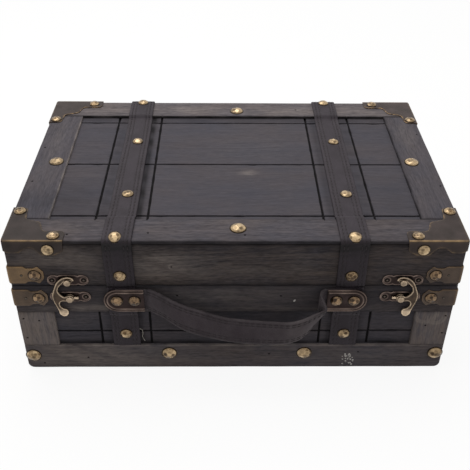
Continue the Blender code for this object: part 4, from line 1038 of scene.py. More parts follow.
def makeStraps():
    # Each strap runs up the lid's front, over its top and down its back; shorter ones go on below the seam
    halfY, height, gap = trunk["halfY"], trunk["height"], trunk["gap"]
    skin = halfY + gap
    high, low = height + gap, height - trunk["recess"] + gap
    railEnd = halfY - trunk["boardWidth"] - gap
    look, slope, end = strapLook, strapLook["slope"], strapLook["lidEnd"]
    overLid = [
        (-skin, end), (-skin, high), (-railEnd, high), (-railEnd + slope, low),
        (railEnd - slope, low), (railEnd, high), (skin, high), (skin, end),
    ]
    panel, foot, (start, stop) = halfY - trunk["recess"] + gap, look["railFoot"], look["baseEnds"]
    onBase = [(-panel, start), (-panel, foot - slope), (-skin, foot), (-skin, stop)]
    face = gap + strapLook["thick"] + strapLook["crown"]
    topFace, panelFace = height + face, height - trunk["recess"] + face
    for number, (lower, sign) in enumerate((("left", -1), ("right", 1))):
        x = sign * trunk["strapX"]
        off, back, lift = look["bendNail"]
        nails = [
            (0, -halfY - face, trunk["seam"] + look["seamNail"], (0, -1, 0)),
            (off if sign < 0 else 0, -halfY + back, topFace + lift, (0, -0.36, 0.93)),
            (0, halfY - look["backNail"], topFace, (0, 0, 1)),
        ]
        nails += [(look["topNailsOff"], -halfY + back, panelFace, (0, 0, 1)) for back in look["topNails"]]
        creases = [(high - end - under, *rest) for under, *rest in look["creases"]] + [look["endCrease"]]
        strapPieces(f"lid_{lower}_strap", x, overLid, 3 + number, nails, creases)
        out, z = halfY - trunk["recess"] + face, look["baseNail"]
        strapPieces(f"base_front_{lower}_strap", x, onBase, 5 + number, [(0, -out, z, (0, -1, 0))])
        onBack = [(-y, z) for y, z in onBase[::-1]]
        strapPieces(f"base_back_{lower}_strap", x, onBack, 7 + number, [(0, out, z, (0, 1, 0))])


railNails = dict(
    front=((-0.1640, 0.0143), (-0.0535, 0.0165), (0.0565, 0.0165), (0.1640, 0.0165)),  # (x, z)
    top=((0.0015, -0.0968), (0.0030, 0.0950), (-0.1510, 0.0), (0.1510, 0.0)),  # (x, y)
)


def makeRailNails():
    # The larger nails: four along the front's bottom rail, and one in each rail and stile of the lid
    heads = [
        nailAt("big", 300 + number, (x, -trunk["halfY"], z), (0, -1, 0))
        for number, (x, z) in enumerate(railNails["front"])
    ]
    addPiece("baseFrontNails", "base", heads, [nailBrass])
    # the nails on top get a painted highlight
    heads = [
        nailAt("big", 310 + number, (x, y, trunk["height"]), (0, 0, 1), 0.25)
        for number, (x, y) in enumerate(railNails["top"])
    ]
    addPiece("lidTopNails", "lid", heads, [nailBrass])


makeStraps()
makeRailNails()
print("straps and nails made")


# Sheet and cast fittings

plateLook = dict(
    thick=0.0007,
    proud=0.0011,  # outer face of a corner fitting above the board
    bend=0.0011,  # outside radius where a plate turns over an edge
    corner=0.0017,  # radius of the upright edge
    lip=0.00016,  # bevel that breaks the cut edges, and a finer one on the stamped plates
    fineLip=0.0001,
    dent=0.00008,  # hand-worked unevenness
    sink=0.00035,  # how far the cut edges are worn down
    # how much darker each corner plate is made, and how much brighter some brackets are made as a painted
    # sheen, as in the photo
    grime=dict(FrontLeft=0.62, FrontRight=0.35, BackLeft=0.35, BackRight=0.0),
    shine={("lid", "FrontLeft"): 0.3, ("base", "FrontLeft"): 0.07},
)


def roundedOutline(corners, steps=8):
    # an open outline through (x, y, radius) corners
    return roundedLine([corner[:2] for corner in corners], [corner[2] for corner in corners[1:]], steps)


def finishSheet(piece, lip):
    # the drawn surface is the outer face: a wall behind it, and its cut edges broken
    wall = piece.modifiers.new("wall", "SOLIDIFY")
    wall.thickness = plateLook["thick"]
    wall.offset = -1
    wall.use_even_offset = True
    broken = piece.modifiers.new("broken edges", "BEVEL")
    broken.width = lip
    broken.segments = 2
    broken.limit_method = "ANGLE"
    broken.angle_limit = math.radians(50)


def aroundCorner(along):
    # The line round an upright trunk corner, whose boards' faces meet at the origin: along is the distance
    # from the corner, positive on the front edge and negative on the side edge. Gives points and normals
    out, radius = plateLook["proud"], plateLook["corner"]
    arc = radius * math.pi / 4
    turn = np.radians(-135) + np.clip(along, -arc, arc) / radius
    middle = radius - out
    normal = np.stack((np.cos(turn), np.sin(turn)), -1)
    point = middle + radius * normal
    point[:, 0] += np.maximum(along - arc, 0)
    point[:, 1] += np.maximum(-along - arc, 0)
    return point, normal


cornerPlate = dict(
    frontArm=0.0440,
    sideArm=0.0425,
    width=0.0118,
    lobe=0.0235,
    dip=0.0035,
    taper=0.0014,
    rounding=0.0045,
    flange=0.0113,
    # lower edge of the turned-down side: back from the arm's end, depth, rounding
    scallop=((0.0, 0.0098, 0.005), (0.007, 0.0134, 0.004), (0.0165, 0.0134, 0.0035),
             (0.021, 0.0065, 0.004), (0.027, 0.0065, 0.004), (0.0325, 0.0113, 0.004)),
    topNail=0.0080,
    topNailIn=0.0052,
    sideNail=0.0120,
    sideNailDown=0.0073,
)


def flangeDepth(arm, distance):
    # how far the turned-down side reaches at each distance from the corner
    look = cornerPlate
    corners = [(arm, 0.0, 0)] + [(arm - back, depth, radius) for back, depth, radius in look["scallop"]]
    corners += [(look["flange"] / 3, look["flange"], look["flange"] / 5), (-0.002, look["flange"] * 0.75, 0)]
    outline = roundedOutline(corners)[::-1]
    return np.maximum(np.interp(distance, outline[:, 0], outline[:, 1]), 0.0018)


def cornerPlatePart():
    # A stamped plate over a corner of the lid. Each station lies on the line round the corner. From there
    # the surface runs down the flange, over a quarter-round bend, and in along a straight line to the
    # matching point of the inner outline
    look = cornerPlate
    out, bend = plateLook["proud"], plateLook["bend"]
    inner = roundedOutline([
        (look["frontArm"], 0.0, 0), (look["frontArm"], look["width"], look["rounding"]),
        (look["lobe"] + look["dip"], look["width"], look["rounding"]),
        (look["lobe"], look["lobe"], look["rounding"]),
        (look["width"], look["lobe"] + look["dip"], look["rounding"]),
        (look["width"] - look["taper"], look["sideArm"], look["rounding"]), (0.0, look["sideArm"], 0),
    ])
    inner = divided(inner, 0.0011)
    distance = runLength(inner)
    apex = np.argmax(inner.sum(1) - 2 * np.abs(inner[:, 0] - inner[:, 1]))
    turnIn = look["lobe"] + look["dip"]
    arms = []
    for axis, order in ((0, slice(0, apex + 1)), (1, slice(apex, None))):
        near, way = inner[order, axis], distance[order]
        if axis:
            near, way = near[::-1], way[::-1]
        first = np.argmax(near <= turnIn)
        fan = (way - way[-1]) / (way[first] - way[-1])
        reach = np.where(np.arange(len(near)) <= first, near, near[first] * fan)
        arms.append(reach if axis == 0 else -reach[::-1])
    along = np.concatenate((arms[0], arms[1][1:]))
    along = along + np.sign(along) * 0.0006 * (np.abs(along) > 0.001)
    point, normal = aroundCorner(along)
    depth = np.where(
        along > 0, flangeDepth(look["frontArm"], np.abs(along)), flangeDepth(look["sideArm"], np.abs(along))
    )
    down = np.linspace(1, 0, 8)[:, None]
    flat = -bend - (depth - bend)[None] * down
    flange = np.stack((point[None, :, 0] + 0 * flat, point[None, :, 1] + 0 * flat, flat + out), -1)
    turn = np.linspace(0, math.pi / 2, 7)[1:, None]
    shrink = bend * (1 - np.cos(turn))
    bent = np.stack((
        point[None, :, 0] - normal[None, :, 0] * shrink,
        point[None, :, 1] - normal[None, :, 1] * shrink,
        out - bend + bend * np.sin(turn) + 0 * point[None, :, 0],
    ), -1)
    inwards = np.array([0.03, 0.08, 0.16, 0.28, 0.42, 0.56, 0.70, 0.82, 0.90, 0.955, 0.985, 1.0])
    inwards = inwards[:, None, None]
    start = bent[-1][None]
    end = np.concatenate((inner, np.full((len(inner), 1), out)), 1)[None]
    top = start + (end - start) * inwards
    edgeGap = np.linalg.norm((end - start)[..., :2], axis=2) * (1 - inwards[..., 0])
    top[..., 2] -= plateLook["sink"] * np.exp(-edgeGap / 0.0006)
    x, y = top[..., 0], top[..., 1]
    top[..., 2] += plateLook["dent"] * (np.sin(x * 420 + 1) * np.sin(y * 380) + np.sin((x + y) * 260))
    points = np.concatenate((flange, bent, top))
    x, y, z = points[..., 0], points[..., 1], points[..., 2]
    fromBend = np.abs(np.arange(len(points)) - 10.5)[:, None] + 0 * x
    fold = bell(fromBend, 2.2) * np.clip(0.75 + wander(along, 3, 0.012, 0.35), 0, 1)
    fold = fold * np.where(along > 0, 1, 0.3)
    lowEdge = np.exp(-np.maximum(z - (out - depth[None]), 0) / 0.0006) * (np.arange(len(points))[:, None] < 8)
    topEdge = np.concatenate((np.zeros((len(points) - len(top), len(along))), np.exp(-edgeGap / 0.0005)))
    uneven = np.clip(0.5 + wander(along, 8, 0.009, 0.6), 0, 1)
    rub = np.clip(fold + 0.45 * lowEdge * uneven + 0.9 * topEdge * uneven, 0, 1)
    return gridPart(points, np.stack((x, y + z), -1), flip=True, rub=rub, dark=0.0 * rub)


bracket = dict(
    band=0.0160,
    reach=0.0268,
    # upper edge of the band: along from the corner, in from the band's edge, rounding
    edge=((0.0122, 0.0, 0.0012), (0.0144, 0.0018, 0.0015), (0.0193, 0.0018, 0.002),
          (0.0228, 0.0, 0.0006), (0.0268, 0.005, 0.003)),
    nail=0.0193,
    brad=0.0094,
    levels=dict(lid=0.0107, base=-0.0117),  # middles above the seam
)


def bracketPart():
    # A bracket bent round an upright corner: at each station along the band its face runs straight from
    # the lower to the upper outline, dished slightly towards its edges
    half = bracket["band"] / 2
    outline = roundedOutline([(0.0, half, 0)] + [(x, half - inset, r) for x, inset, r in bracket["edge"]]
                             + [(bracket["reach"], 0, 0)], 6)
    reach = bracket["reach"]
    along = np.unique(np.round(np.concatenate((
        divided(outline, 0.0012)[:, 0], np.linspace(0, 0.0035, 9), reach - np.array([0, 0.0002, 0.0006])
    )), 5))
    level = np.interp(along, outline[:, 0], outline[:, 1])
    flat = outline[outline[:, 0] < reach - 0.00002]
    level[-1] = flat[-1, 1]
    along = np.concatenate((along[::-1], -along[1:]))
    level = np.concatenate((level[::-1], level[1:]))
    point, normal = aroundCorner(along)
    share = np.array([-1, -0.96, -0.9, -0.8, -0.6, -0.3, 0, 0.3, 0.6, 0.8, 0.9, 0.96, 1])[:, None]
    height = share * level[None]
    fromEdge = level[None] - np.abs(height)
    dent = plateLook["dent"] * np.sin(along * 500)[None] * (1 - share**2)
    sink = plateLook["sink"] * np.exp(-fromEdge / 0.0005) + dent
    points = np.stack((
        point[None, :, 0] - normal[None, :, 0] * sink, point[None, :, 1] - normal[None, :, 1] * sink, height
    ), -1)
    endGap = (reach - np.abs(along))[None]
    fold = bell(along[None], 0.0012) * 0.3
    upper = np.where(height > 0, 0.55, 0.2) * np.exp(-fromEdge / 0.0004)
    uneven = np.clip(0.6 + wander(along, 4, 0.008, 0.5), 0, 1)[None]
    rub = np.clip(upper * uneven + 0.2 * np.exp(-endGap / 0.0004) + fold, 0, 1)
    uv = np.stack((along[None] + 0 * height, height), -1)
    return gridPart(points, uv, flip=True, rub=rub, dark=0.0 * rub)


def bradHead(radius=0.0011):
    # a small dark nail head: a low dome with a dip in its middle
    height = 0.0004
    profile = [(0, height * 0.5), (radius * 0.35, height * 0.6), (radius * 0.6, height),
               (radius * 0.85, height * 0.8), (radius, 0), (radius, -height), (0, -height)]
    shine = np.array([1.0, 0.4, 0.15, 0.1, 0, 0, 0])[:, None]
    return turnedPart(profile, 14, dark=0.3 * (1 - shine), rub=shine)


def frontFace(part, x, y, z):
    # stands a drawn part on a front face: its x to the right, its y up, its z out of the wall
    return placed(part, (1, 0, 0), (0, 0, 1), (0, -1, 0), (x, y, z))


def mirrored(part, sign):
    # the same part, turned over in x where the sign is negative
    return placed(part, (sign, 0, 0), (0, 1, 0), (0, 0, 1))


def makeCornerFittings():
    # Corner plates and brackets, mirrored from the front left corner, with their nails
    look, out = cornerPlate, plateLook["proud"]
    plate, clip = cornerPlatePart(), bracketPart()
    frontArm, sideArm = look["frontArm"], look["sideArm"]
    topIn, down = look["topNailIn"], -look["sideNailDown"]
    plateNails = [
        nailAt("small", 1, (frontArm - look["topNail"], topIn, out), (0, 0, 1)),
        nailAt("small", 2, (topIn, sideArm - topIn, out), (0, 0, 1)),
        # a painted highlight on this nail
        nailAt("small", 3, (frontArm - look["sideNail"], -out, down), (0, -1, 0), 0.3),
        nailAt("small", 4, (-out, sideArm - look["sideNail"], down), (-1, 0, 0)),
    ]
    clipNails = [
        nailAt("small", 5, (bracket["nail"], -out, 0), (0, -1, 0)),
        nailAt("small", 6, (-out, bracket["nail"], 0), (-1, 0, 0)),
    ]
    clipBrads = [
        placed(bradHead(), (1, 0, 0), (0, 0, 1), (0, -1, 0), (bracket["brad"], -out, 0)),
        placed(bradHead(), (0, -1, 0), (0, 0, 1), (-1, 0, 0), (-out, bracket["brad"], 0)),
    ]
    for end, signY in (("Front", 1), ("Back", -1)):
        for side, signX in (("Left", 1), ("Right", -1)):
            axes = ((signX, 0, 0), (0, signY, 0), (0, 0, 1))
            corner = (-signX * trunk["halfX"], -signY * trunk["halfY"])
            name, node = f"{end}{side}", f"{end.lower()}_{side.lower()}"
            top = (*corner, trunk["height"])
            own = placed(plate, *axes, top)
            # each corner plate darkened by its own amount
            own["marks"] = dict(own["marks"], dark=own["marks"]["dark"] + plateLook["grime"][name])
            piece = addPiece(f"lid{name}CornerPlate", "lid", [own], [plateBronze],
                             [f"lid_{node}_corner_plate"], sharp=50)
            finishSheet(piece, plateLook["lip"])
            heads = [placed(nail, *axes, top) for nail in plateNails]
            for body, level in bracket["levels"].items():
                place = (*corner, trunk["seam"] + level)
                own = placed(clip, *axes, place)
                # some brackets brighter: a painted sheen
                shine = plateLook["shine"].get((body, name), 0)
                own["marks"] = dict(own["marks"], rub=np.clip(own["marks"]["rub"] + shine, 0, 1))
                piece = addPiece(f"{body}{name}Bracket", body, [own], [bracketBronze],
                                 [f"{body}_{node}_bracket"], sharp=50)
                finishSheet(piece, plateLook["lip"])
                addPiece(f"{body}{name}BracketBrads", body, [placed(b, *axes, place) for b in clipBrads],
                         [iron])
                own = [placed(nail, *axes, place) for nail in clipNails]
                addPiece(f"{body}{name}BracketNails", body, own, [nailBronze])
            addPiece(f"lid{name}CornerNails", "lid", heads, [nailBrass])


# Latches

latch = dict(
    length=0.0315,
    height=0.0100,
    waist=(0.0008, 0.0012),  # depth and width
    hole=0.0119,
    # on the face of a plate: a raised rim (in from the edge, width, height), how far the edge itself is
    # worn down, and round each hole a pressed ring (radius, width, height) and a dish (radius, slope, depth)
    rim=(0.0006, 0.0004, 0.00022),
    worn=0.0003,
    ring=(0.0026, 0.0004, 0.00018),
    dish=(0.0024, 0.0006, 0.0002),
    catchZ=0.0942,
    pivotZ=0.0779,
    boss=(0.0031, 0.0010),  # radius, height
    neck=0.0014,
    head=(0.0028, 0.0020),
    postTop=0.0043,  # underside of the head, out from the front
    plateFace=0.0011,
    hookMiddle=0.0032,  # out from the front
    hookThick=0.0019,
    hookSwell=0.0007,  # width over which its edges round off
    peg=(0.0011, 0.0042),
    pegIn=0.0024,  # from the pivot to the peg's foot
)


def latchPlatePart():
    # A plate with round ends, waisted on both sides of its boss: each upright line runs between the lower
    # and the upper outline, and the face is raised a little inside a bright rim
    halfLength, halfHeight, worn = latch["length"] / 2, latch["height"] / 2, latch["worn"]
    (dip, dipWide), (dishAt, dishSlope, dishDeep) = latch["waist"], latch["dish"]
    (rimIn, rimWide, rimHigh), (ringAt, ringWide, ringHigh) = latch["rim"], latch["ring"]
    x = np.linspace(-1, 1, 131)
    x = np.sign(x) * (1 - (1 - np.abs(x)) ** 1.6) * halfLength
    fromEnd = np.clip((np.abs(x) - (halfLength - halfHeight)) / halfHeight, 0, 1)
    middle = (latch["boss"][0] + latch["hole"]) / 2
    level = halfHeight * np.sqrt(1 - fromEnd**2) - dip * bell(np.abs(x) - middle, dipWide)
    share = np.sin(np.linspace(-1, 1, 27) * math.pi / 2)[:, None]
    y = share * level[None]
    tip = halfLength - np.abs(x)
    fromEdge = np.minimum(level[None] - np.abs(y), tip[None] + 0 * y)
    rim = rimHigh * bell(fromEdge - rimIn, rimWide)
    z = rim - worn * np.exp(-fromEdge / worn)
    fromHole = np.hypot(np.abs(x[None]) - latch["hole"], y)
    ring = bell(fromHole - ringAt, ringWide)
    z = z + ringHigh * ring - dishDeep * smoothStep((dishAt - fromHole) / dishSlope)
    rub = np.clip(rim / rimHigh * (0.55 + wander(x, 12, 0.009, 0.3)[None]) + 0.45 * ring, 0, 1)
    field = 0.3 * smoothStep((fromEdge - 0.0010) / 0.001)
    dark = np.maximum(field, 0.95 * smoothStep((dishAt - fromHole) / 0.0005)) * (1 - 0.6 * ring)
    return gridPart(np.stack((x[None] + 0 * y, y, z), -1), rub=rub, dark=dark)


def postPart(top):
    # a boss, a neck and a rounded head, turned as one
    bossRadius, bossHeight = latch["boss"]
    head, headHeight = latch["head"]
    neck = latch["neck"]
    profile = [
        (0, top + headHeight), (head * 0.45, top + headHeight * 0.96), (head * 0.75, top + headHeight * 0.8),
        (head * 0.95, top + headHeight * 0.5), (head, top + headHeight * 0.22), (head * 0.93, top + 0.0001),
        (head * 0.86, top), (neck, top), (neck, bossHeight), (bossRadius * 0.8, bossHeight),
        (bossRadius * 0.95, bossHeight * 0.85), (bossRadius, bossHeight * 0.6), (bossRadius, -0.0003),
        (0, -0.0003),
    ]
    rub = np.array([0.35, 0.4, 0.5, 0.7, 0.4, 0.2, 0.1, 0, 0, 0.1, 0.3, 0.2, 0, 0], float)[:, None]
    dark = np.array([0, 0, 0, 0.1, 0.2, 0.4, 0.6, 0.8, 0.8, 0.6, 0.2, 0.2, 0.6, 0.6], float)[:, None]
    return turnedPart(profile, 28, rub=rub, dark=dark)


def smoothLine(points, samples):
    # a smooth open line through points (Catmull-Rom): each span is a cubic through its four neighbours
    points = np.array(points, float)
    padded = np.concatenate((points[:1], points, points[-1:]))
    share = (np.arange(samples) / samples)[None, :, None]
    before, start, end, after = (padded[i : len(points) - 1 + i, None] for i in range(4))
    line = (
        start + (end - before) * share / 2 + (2 * before - 5 * start + 4 * end - after) * share**2 / 2
        + (3 * start - before - 3 * end + after) * share**3 / 2
    )
    return np.concatenate((line.reshape(-1, points.shape[1]), points[-1:]))


hook = dict(
    # from the knob: the tip's outer edge and the mouth; from the pivot: the back, the tail and the web
    tip=((-0.0051, 0.0011), (-0.0050, 0.0026), (-0.0036, 0.0042), (-0.0002, 0.0050), (0.0042, 0.0037),
         (0.0084, -0.0004)),
    back=((0.0113, 0.0094), (0.0131, 0.0037), (0.0128, -0.0020), (0.0114, -0.0070), (0.0100, -0.0116),
          (0.0094, -0.0152), (0.0068, -0.0177), (0.0034, -0.0166), (0.0022, -0.0134), (0.0032, -0.0106),
          (0.0060, -0.0094), (0.0078, -0.0070), (0.0078, -0.0042), (0.0058, -0.0024)),
    web=((0.0040, 0.0020), (0.0064, 0.0040), (0.0080, 0.0072)),
    mouth=((0.0074, -0.0058), (0.0056, -0.0030), (0.0034, -0.0008), (0.0021, 0.0008)),
    eye=0.0033,
    bore=0.0017,
    lipReach=0.0016,
    lipTurn=16.4,
    thumb=(0.0090, 0.005),  # how far under the pivot the painted highlight on the tail starts, and grows to full
)


def hookOutline():
    # the hook about its pivot: tip over the knob, round back, thumb tail, eye and mouth
    arm = latch["catchZ"] - latch["pivotZ"]
    tip = [(x, y + arm) for x, y in hook["tip"]]
    mouth = [(x, y + arm) for x, y in hook["mouth"]]
    turns = np.radians(np.arange(-60, -301, -40))
    eye = list(zip(hook["eye"] * np.cos(turns), hook["eye"] * np.sin(turns)))
    turns = np.radians(hook["lipTurn"] * np.arange(5) / 4)
    reach = arm + hook["lipReach"]
    lip = np.stack((-reach * np.sin(turns), reach * np.cos(turns)), -1)
    line = smoothLine(tip + list(hook["back"]) + eye + list(hook["web"]) + mouth, 6)
    return np.concatenate((line, lip))


def segmentDistance(points, outline):
    # the least distance from each point to a closed outline
    start, end = outline, np.roll(outline, -1, axis=0)
    along = end - start
    share = np.einsum("psk,sk->ps", points[:, None] - start[None], along) / (along**2).sum(1)
    near = start[None] + np.clip(share, 0, 1)[..., None] * along[None]
    return np.linalg.norm(points[:, None] - near, axis=2).min(1)


def insideOutline(points, outline):
    # a point is inside where a line from it to the right crosses the outline an odd number of times
    x, y = points[:, :1], points[:, 1:]
    start, end = outline[None], np.roll(outline, -1, axis=0)[None]
    spans = (start[..., 1] > y) != (end[..., 1] > y)
    rise = np.where(end[..., 1] == start[..., 1], 1e-12, end[..., 1] - start[..., 1])
    cross = start[..., 0] + (y - start[..., 1]) / rise * (end[..., 0] - start[..., 0])
    return (spans & (x < cross)).sum(1) % 2 == 1


def castPart(outline, holes, thick, swell, spacing=0.00055):
    # A casting cut to an outline, its edges swollen to a round rim about a sunk middle: half its thickness
    # is T (0.3 + 0.7 sqrt(1 - (1 - d/s)^2)) at a distance d from the nearest edge, up to s, less the hollow
    outline = divided(np.concatenate((outline, outline[:1])), spacing)[:-1]
    holes = [divided(np.concatenate((hole, hole[:1])), spacing)[:-1] for hole in holes]
    low, high = outline.min(0), outline.max(0)
    xs = np.arange(low[0], high[0], spacing)
    ys = np.arange(low[1], high[1], spacing * 0.866)
    spread = np.stack(np.meshgrid(xs, ys), -1)
    spread[1::2, :, 0] += spacing / 2
    spread = spread.reshape(-1, 2)
    keep = insideOutline(spread, outline) & (segmentDistance(spread, outline) > spacing * 0.45)
    for opening in holes:
        keep &= ~insideOutline(spread, opening) & (segmentDistance(spread, opening) > spacing * 0.45)
    rings = [outline] + holes
    flat = np.concatenate(rings + [spread[keep]])
    edges, start = [], 0
    for ring in rings:
        count = len(ring)
        edges += [(start + i, start + (i + 1) % count) for i in range(count)]
        start += count
    done = delaunay_2d_cdt([Vector(point) for point in flat], edges, [], 4, 1e-7)
    flat = np.array([tuple(point) for point in done[0]])
    faces = [list(face) for face in done[2]]
    corners = flat[np.array(faces)]
    turn = np.cross(corners[:, 1] - corners[:, 0], corners[:, 2] - corners[:, 0])
    faces = [face if area > 0 else face[::-1] for face, area in zip(faces, turn)]
    apart = np.minimum.reduce([segmentDistance(flat, ring) for ring in rings])
    rise = thick / 2 * (0.3 + 0.7 * np.sqrt(1 - (1 - np.clip(apart / swell, 0, 1)) ** 2))
    hollow = smoothStep((apart - swell) / (swell * 0.7))
    rise = rise - hollow * thick * 0.13
    count = len(flat)
    uses = {}
    for face in faces:
        for first, second in zip(face, face[1:] + face[:1]):
            uses[(first, second)] = True
    border = [(a, b) for a, b in uses if (b, a) not in uses]
    sides = [[b, a, a + count, b + count] for a, b in border]
    points = np.concatenate((np.column_stack((flat, rise)), np.column_stack((flat, -rise))))
    rub = 0.8 * bell(apart - swell * 0.8, swell * 0.45) + 0.05
    # a painted highlight on the tail, with less patina under it
    tailLitFrom, tailLitOver = hook["thumb"]
    tailLit = smoothStep((-flat[:, 1] - tailLitFrom) / tailLitOver)
    rub = rub + 0.75 * tailLit * smoothStep(apart / swell)
    dark = 0.35 * hollow * (1 - 0.7 * tailLit) + 0.5 * np.exp(-apart / 0.0002)
    return dict(
        points=points, faces=faces + [[i + count for i in face[::-1]] for face in faces] + sides,
        uv=np.concatenate((flat, flat)),
        marks=dict(rub=np.concatenate((rub, rub)), dark=np.concatenate((dark, dark))),
    )


def makeLatches():
    # A knob on the lid and a hook that swings on a headed pivot on the base, at each end of the front
    face = latch["plateFace"]
    plate, post = latchPlatePart(), postPart(latch["postTop"] - face)
    turns = np.linspace(0, 2 * math.pi, 24, endpoint=False)
    bore = hook["bore"] * np.stack((np.cos(turns), np.sin(turns)), -1)
    casting = castPart(hookOutline(), [bore], latch["hookThick"], latch["hookSwell"])
    radius, reach = latch["peg"]
    peg = [(0, reach), (radius * 0.7, reach), (radius, reach * 0.93), (radius, 0), (0, 0)]
    peg = turnedPart(peg, 12, rub=0.7, dark=0.1)
    for side, sign in (("Left", -1), ("Right", 1)):
        x, lower = sign * trunk["latchX"], side.lower()
        for name, body, node, z in (
            ("Catch", "lid", f"latch_{lower}_catch", latch["catchZ"]),
            ("Pivot", "base", f"latch_{lower}_pivot_plate", latch["pivotZ"]),
        ):
            y = -trunk["halfY"] - face
            piece = addPiece(f"latch{side}{name}Plate", body, [frontFace(plate, x, y, z)], [stampedBronze],
                             [node], sharp=50)
            finishSheet(piece, plateLook["fineLip"])
            parts = [frontFace(post, x, y, z)]
            if name == "Pivot":
                start = (x - sign * latch["pegIn"], y - radius * 1.1, z)
                parts.append(placed(peg, (0, 1, 0), (0, 0, sign), (-sign, 0, 0), start))
            addPiece(f"latch{side}{name}Post", body, parts, [castBrass], sharp=50)
            pins = [frontFace(bradHead(), x + place * latch["hole"], y + 0.0001, z) for place in (-1, 1)]
            addPiece(f"latch{side}{name}Brads", body, pins, [iron])
        swing = frontFace(mirrored(casting, sign), x, -trunk["halfY"] - latch["hookMiddle"], latch["pivotZ"])
        addPiece(f"hook{side}", f"hook_{lower}", [swing], [castBrass], [f"hook_{lower}"],
                 sharp=70)


# The handle and its plates

handlePlate = dict(
    inner=0.0700,  # square end, from the middle of the trunk
    length=0.0310,
    height=0.0218,
    middleZ=0.0767,
    back=0.0039,  # out from the front
    # height of the stamped face at each distance in from its edge: two rims with a channel between
    rims=((0.0, 0.00045), (0.00025, 0.0009), (0.0006, 0.00115), (0.0010, 0.0011), (0.0014, 0.00075),
          (0.0018, 0.00065), (0.0022, 0.0009), (0.0026, 0.0014), (0.0031, 0.0015), (0.0035, 0.0013),
          (0.0039, 0.0009), (0.0044, 0.0008), (0.0060, 0.0008), (0.0085, 0.0008), (0.0109, 0.0008)),
    level=0.0008,  # height of the field inside the rims
    flatAt=(0.0002, 0.0011),  # where the rims fade in from the square end, and over what length
    bright=((0.0008, 0.0004), (0.0030, 0.0005)),  # rubbed rims: in from the edge, width
    grime=((0.0018, 0.0004, 1), (0.0044, 0.0006, 0.35)),  # dark channels: in from the edge, width, share
    nails=(0.0772, 0.0907),  # from the middle of the trunk
)


def handlePlatePart():
    # A plate square at its inner end and round at the outer one. Rows are its outline drawn in by each
    # distance down to the middle line, columns run out along the top, round the end and back
    half, level, (fadeFrom, fadeOver) = handlePlate["height"] / 2, handlePlate["level"], handlePlate["flatAt"]
    inset, rise = np.array(handlePlate["rims"]).T
    centre = handlePlate["length"] - half
    straight = np.linspace(0, 1, 15)
    turn = np.linspace(math.pi / 2, -math.pi / 2, 27)[1:-1]
    x, y = [], []
    for distance in inset:
        radius = max(half - distance, 0)
        run = straight * centre
        x.append(np.concatenate((run, centre + radius * np.cos(turn), run[::-1])))
        y.append(np.concatenate((0 * straight + radius, radius * np.sin(turn), 0 * straight - radius)))
    x, y = np.array(x), np.array(y)
    z = rise[:, None] + 0 * x
    flat = smoothStep((x - fadeFrom) / fadeOver)
    z = level + (z - level) * np.where(inset[:, None] > 0.0013, flat, np.maximum(flat, 0.35))
    rims = sum(bell(inset - place, width) for place, width in handlePlate["bright"])
    channel = sum(share * bell(inset - place, width) for place, width, share in handlePlate["grime"])
    rub = np.clip(rims, 0, 1)[:, None] * np.clip(0.6 + wander(x + y, 9, 0.013, 0.35), 0, 1)
    return gridPart(np.stack((x, y, z), -1), flip=True, rub=rub, dark=0.85 * channel[:, None] + 0 * x)


handleBand = dict(
    width=0.0210,
    thick=0.0021,
    crown=0.0007,
    edge=0.0010,
    seams=(0.0026, 0.0045),
    tab=0.0013,  # thickness where it is pressed under a plate
    out=0.00285,  # middle of its ends, out from the front
    halfSpan=0.0692,
    bulge=0.0160,
    droop=0.0240,
    # along in percent of the half span, out in percent of the bulge, down in percent of the droop, and lean.
    # At the right end the band folds back on itself and twists, as in the photo
    stations=(
        (-100, 0, 0, 0), (-96, 3, 0, 3), (-89, 21, 0, 6), (-80, 42, 4, 5), (-70, 61, 16, 8),
        (-56, 78, 33, 17),
        (-39, 88, 48, 19), (-23, 94, 61, 14), (-6, 98, 72, 12), (16, 100, 79, 12), (44, 99, 85, 8),
        (60, 94, 87, 2), (71, 88, 79, -2), (79, 80, 66, -11), (85, 72, 52, -21), (91, 64, 38, -31),
        (95, 58, 26, -40), (97.5, 50, 16, -46), (95.5, 38, 9, -32), (93.3, 24, 4, -14), (94.3, 10, 1, -4),
        (97.3, 2, 0, 0), (100, 0, 0, 0),
    ),
    worn=0.6,
    rightWear=(20, 40, 0.7),  # painted highlight on the right half: from, over what run, and how much
    # each crease is darkened with painted shade
    creases=((-97, 0.002, 0.5), (-78, 0.0025, 0.4), (-30, 0.002, 0.2)),  # along, reach, depth
    thins=0.003,  # length over which it thins towards a plate
    sewnPast=0.002,  # how far its stitches run on past the half span
    # two points on each half, near where it leaves its plate
    turnsFrom=dict(
        Left=((-0.0700, 0, 0), (-0.0600, 0, 0)), Right=((0.0697, -0.1155, 0), (0.0640, -0.1240, 0)),
    ),
    tabEnd=0.099,  # outer end of the leather under a plate, from the middle of the trunk
    tabRound=(0.0885, 0.0105),  # where that end starts to round off, and the length over which it does
)


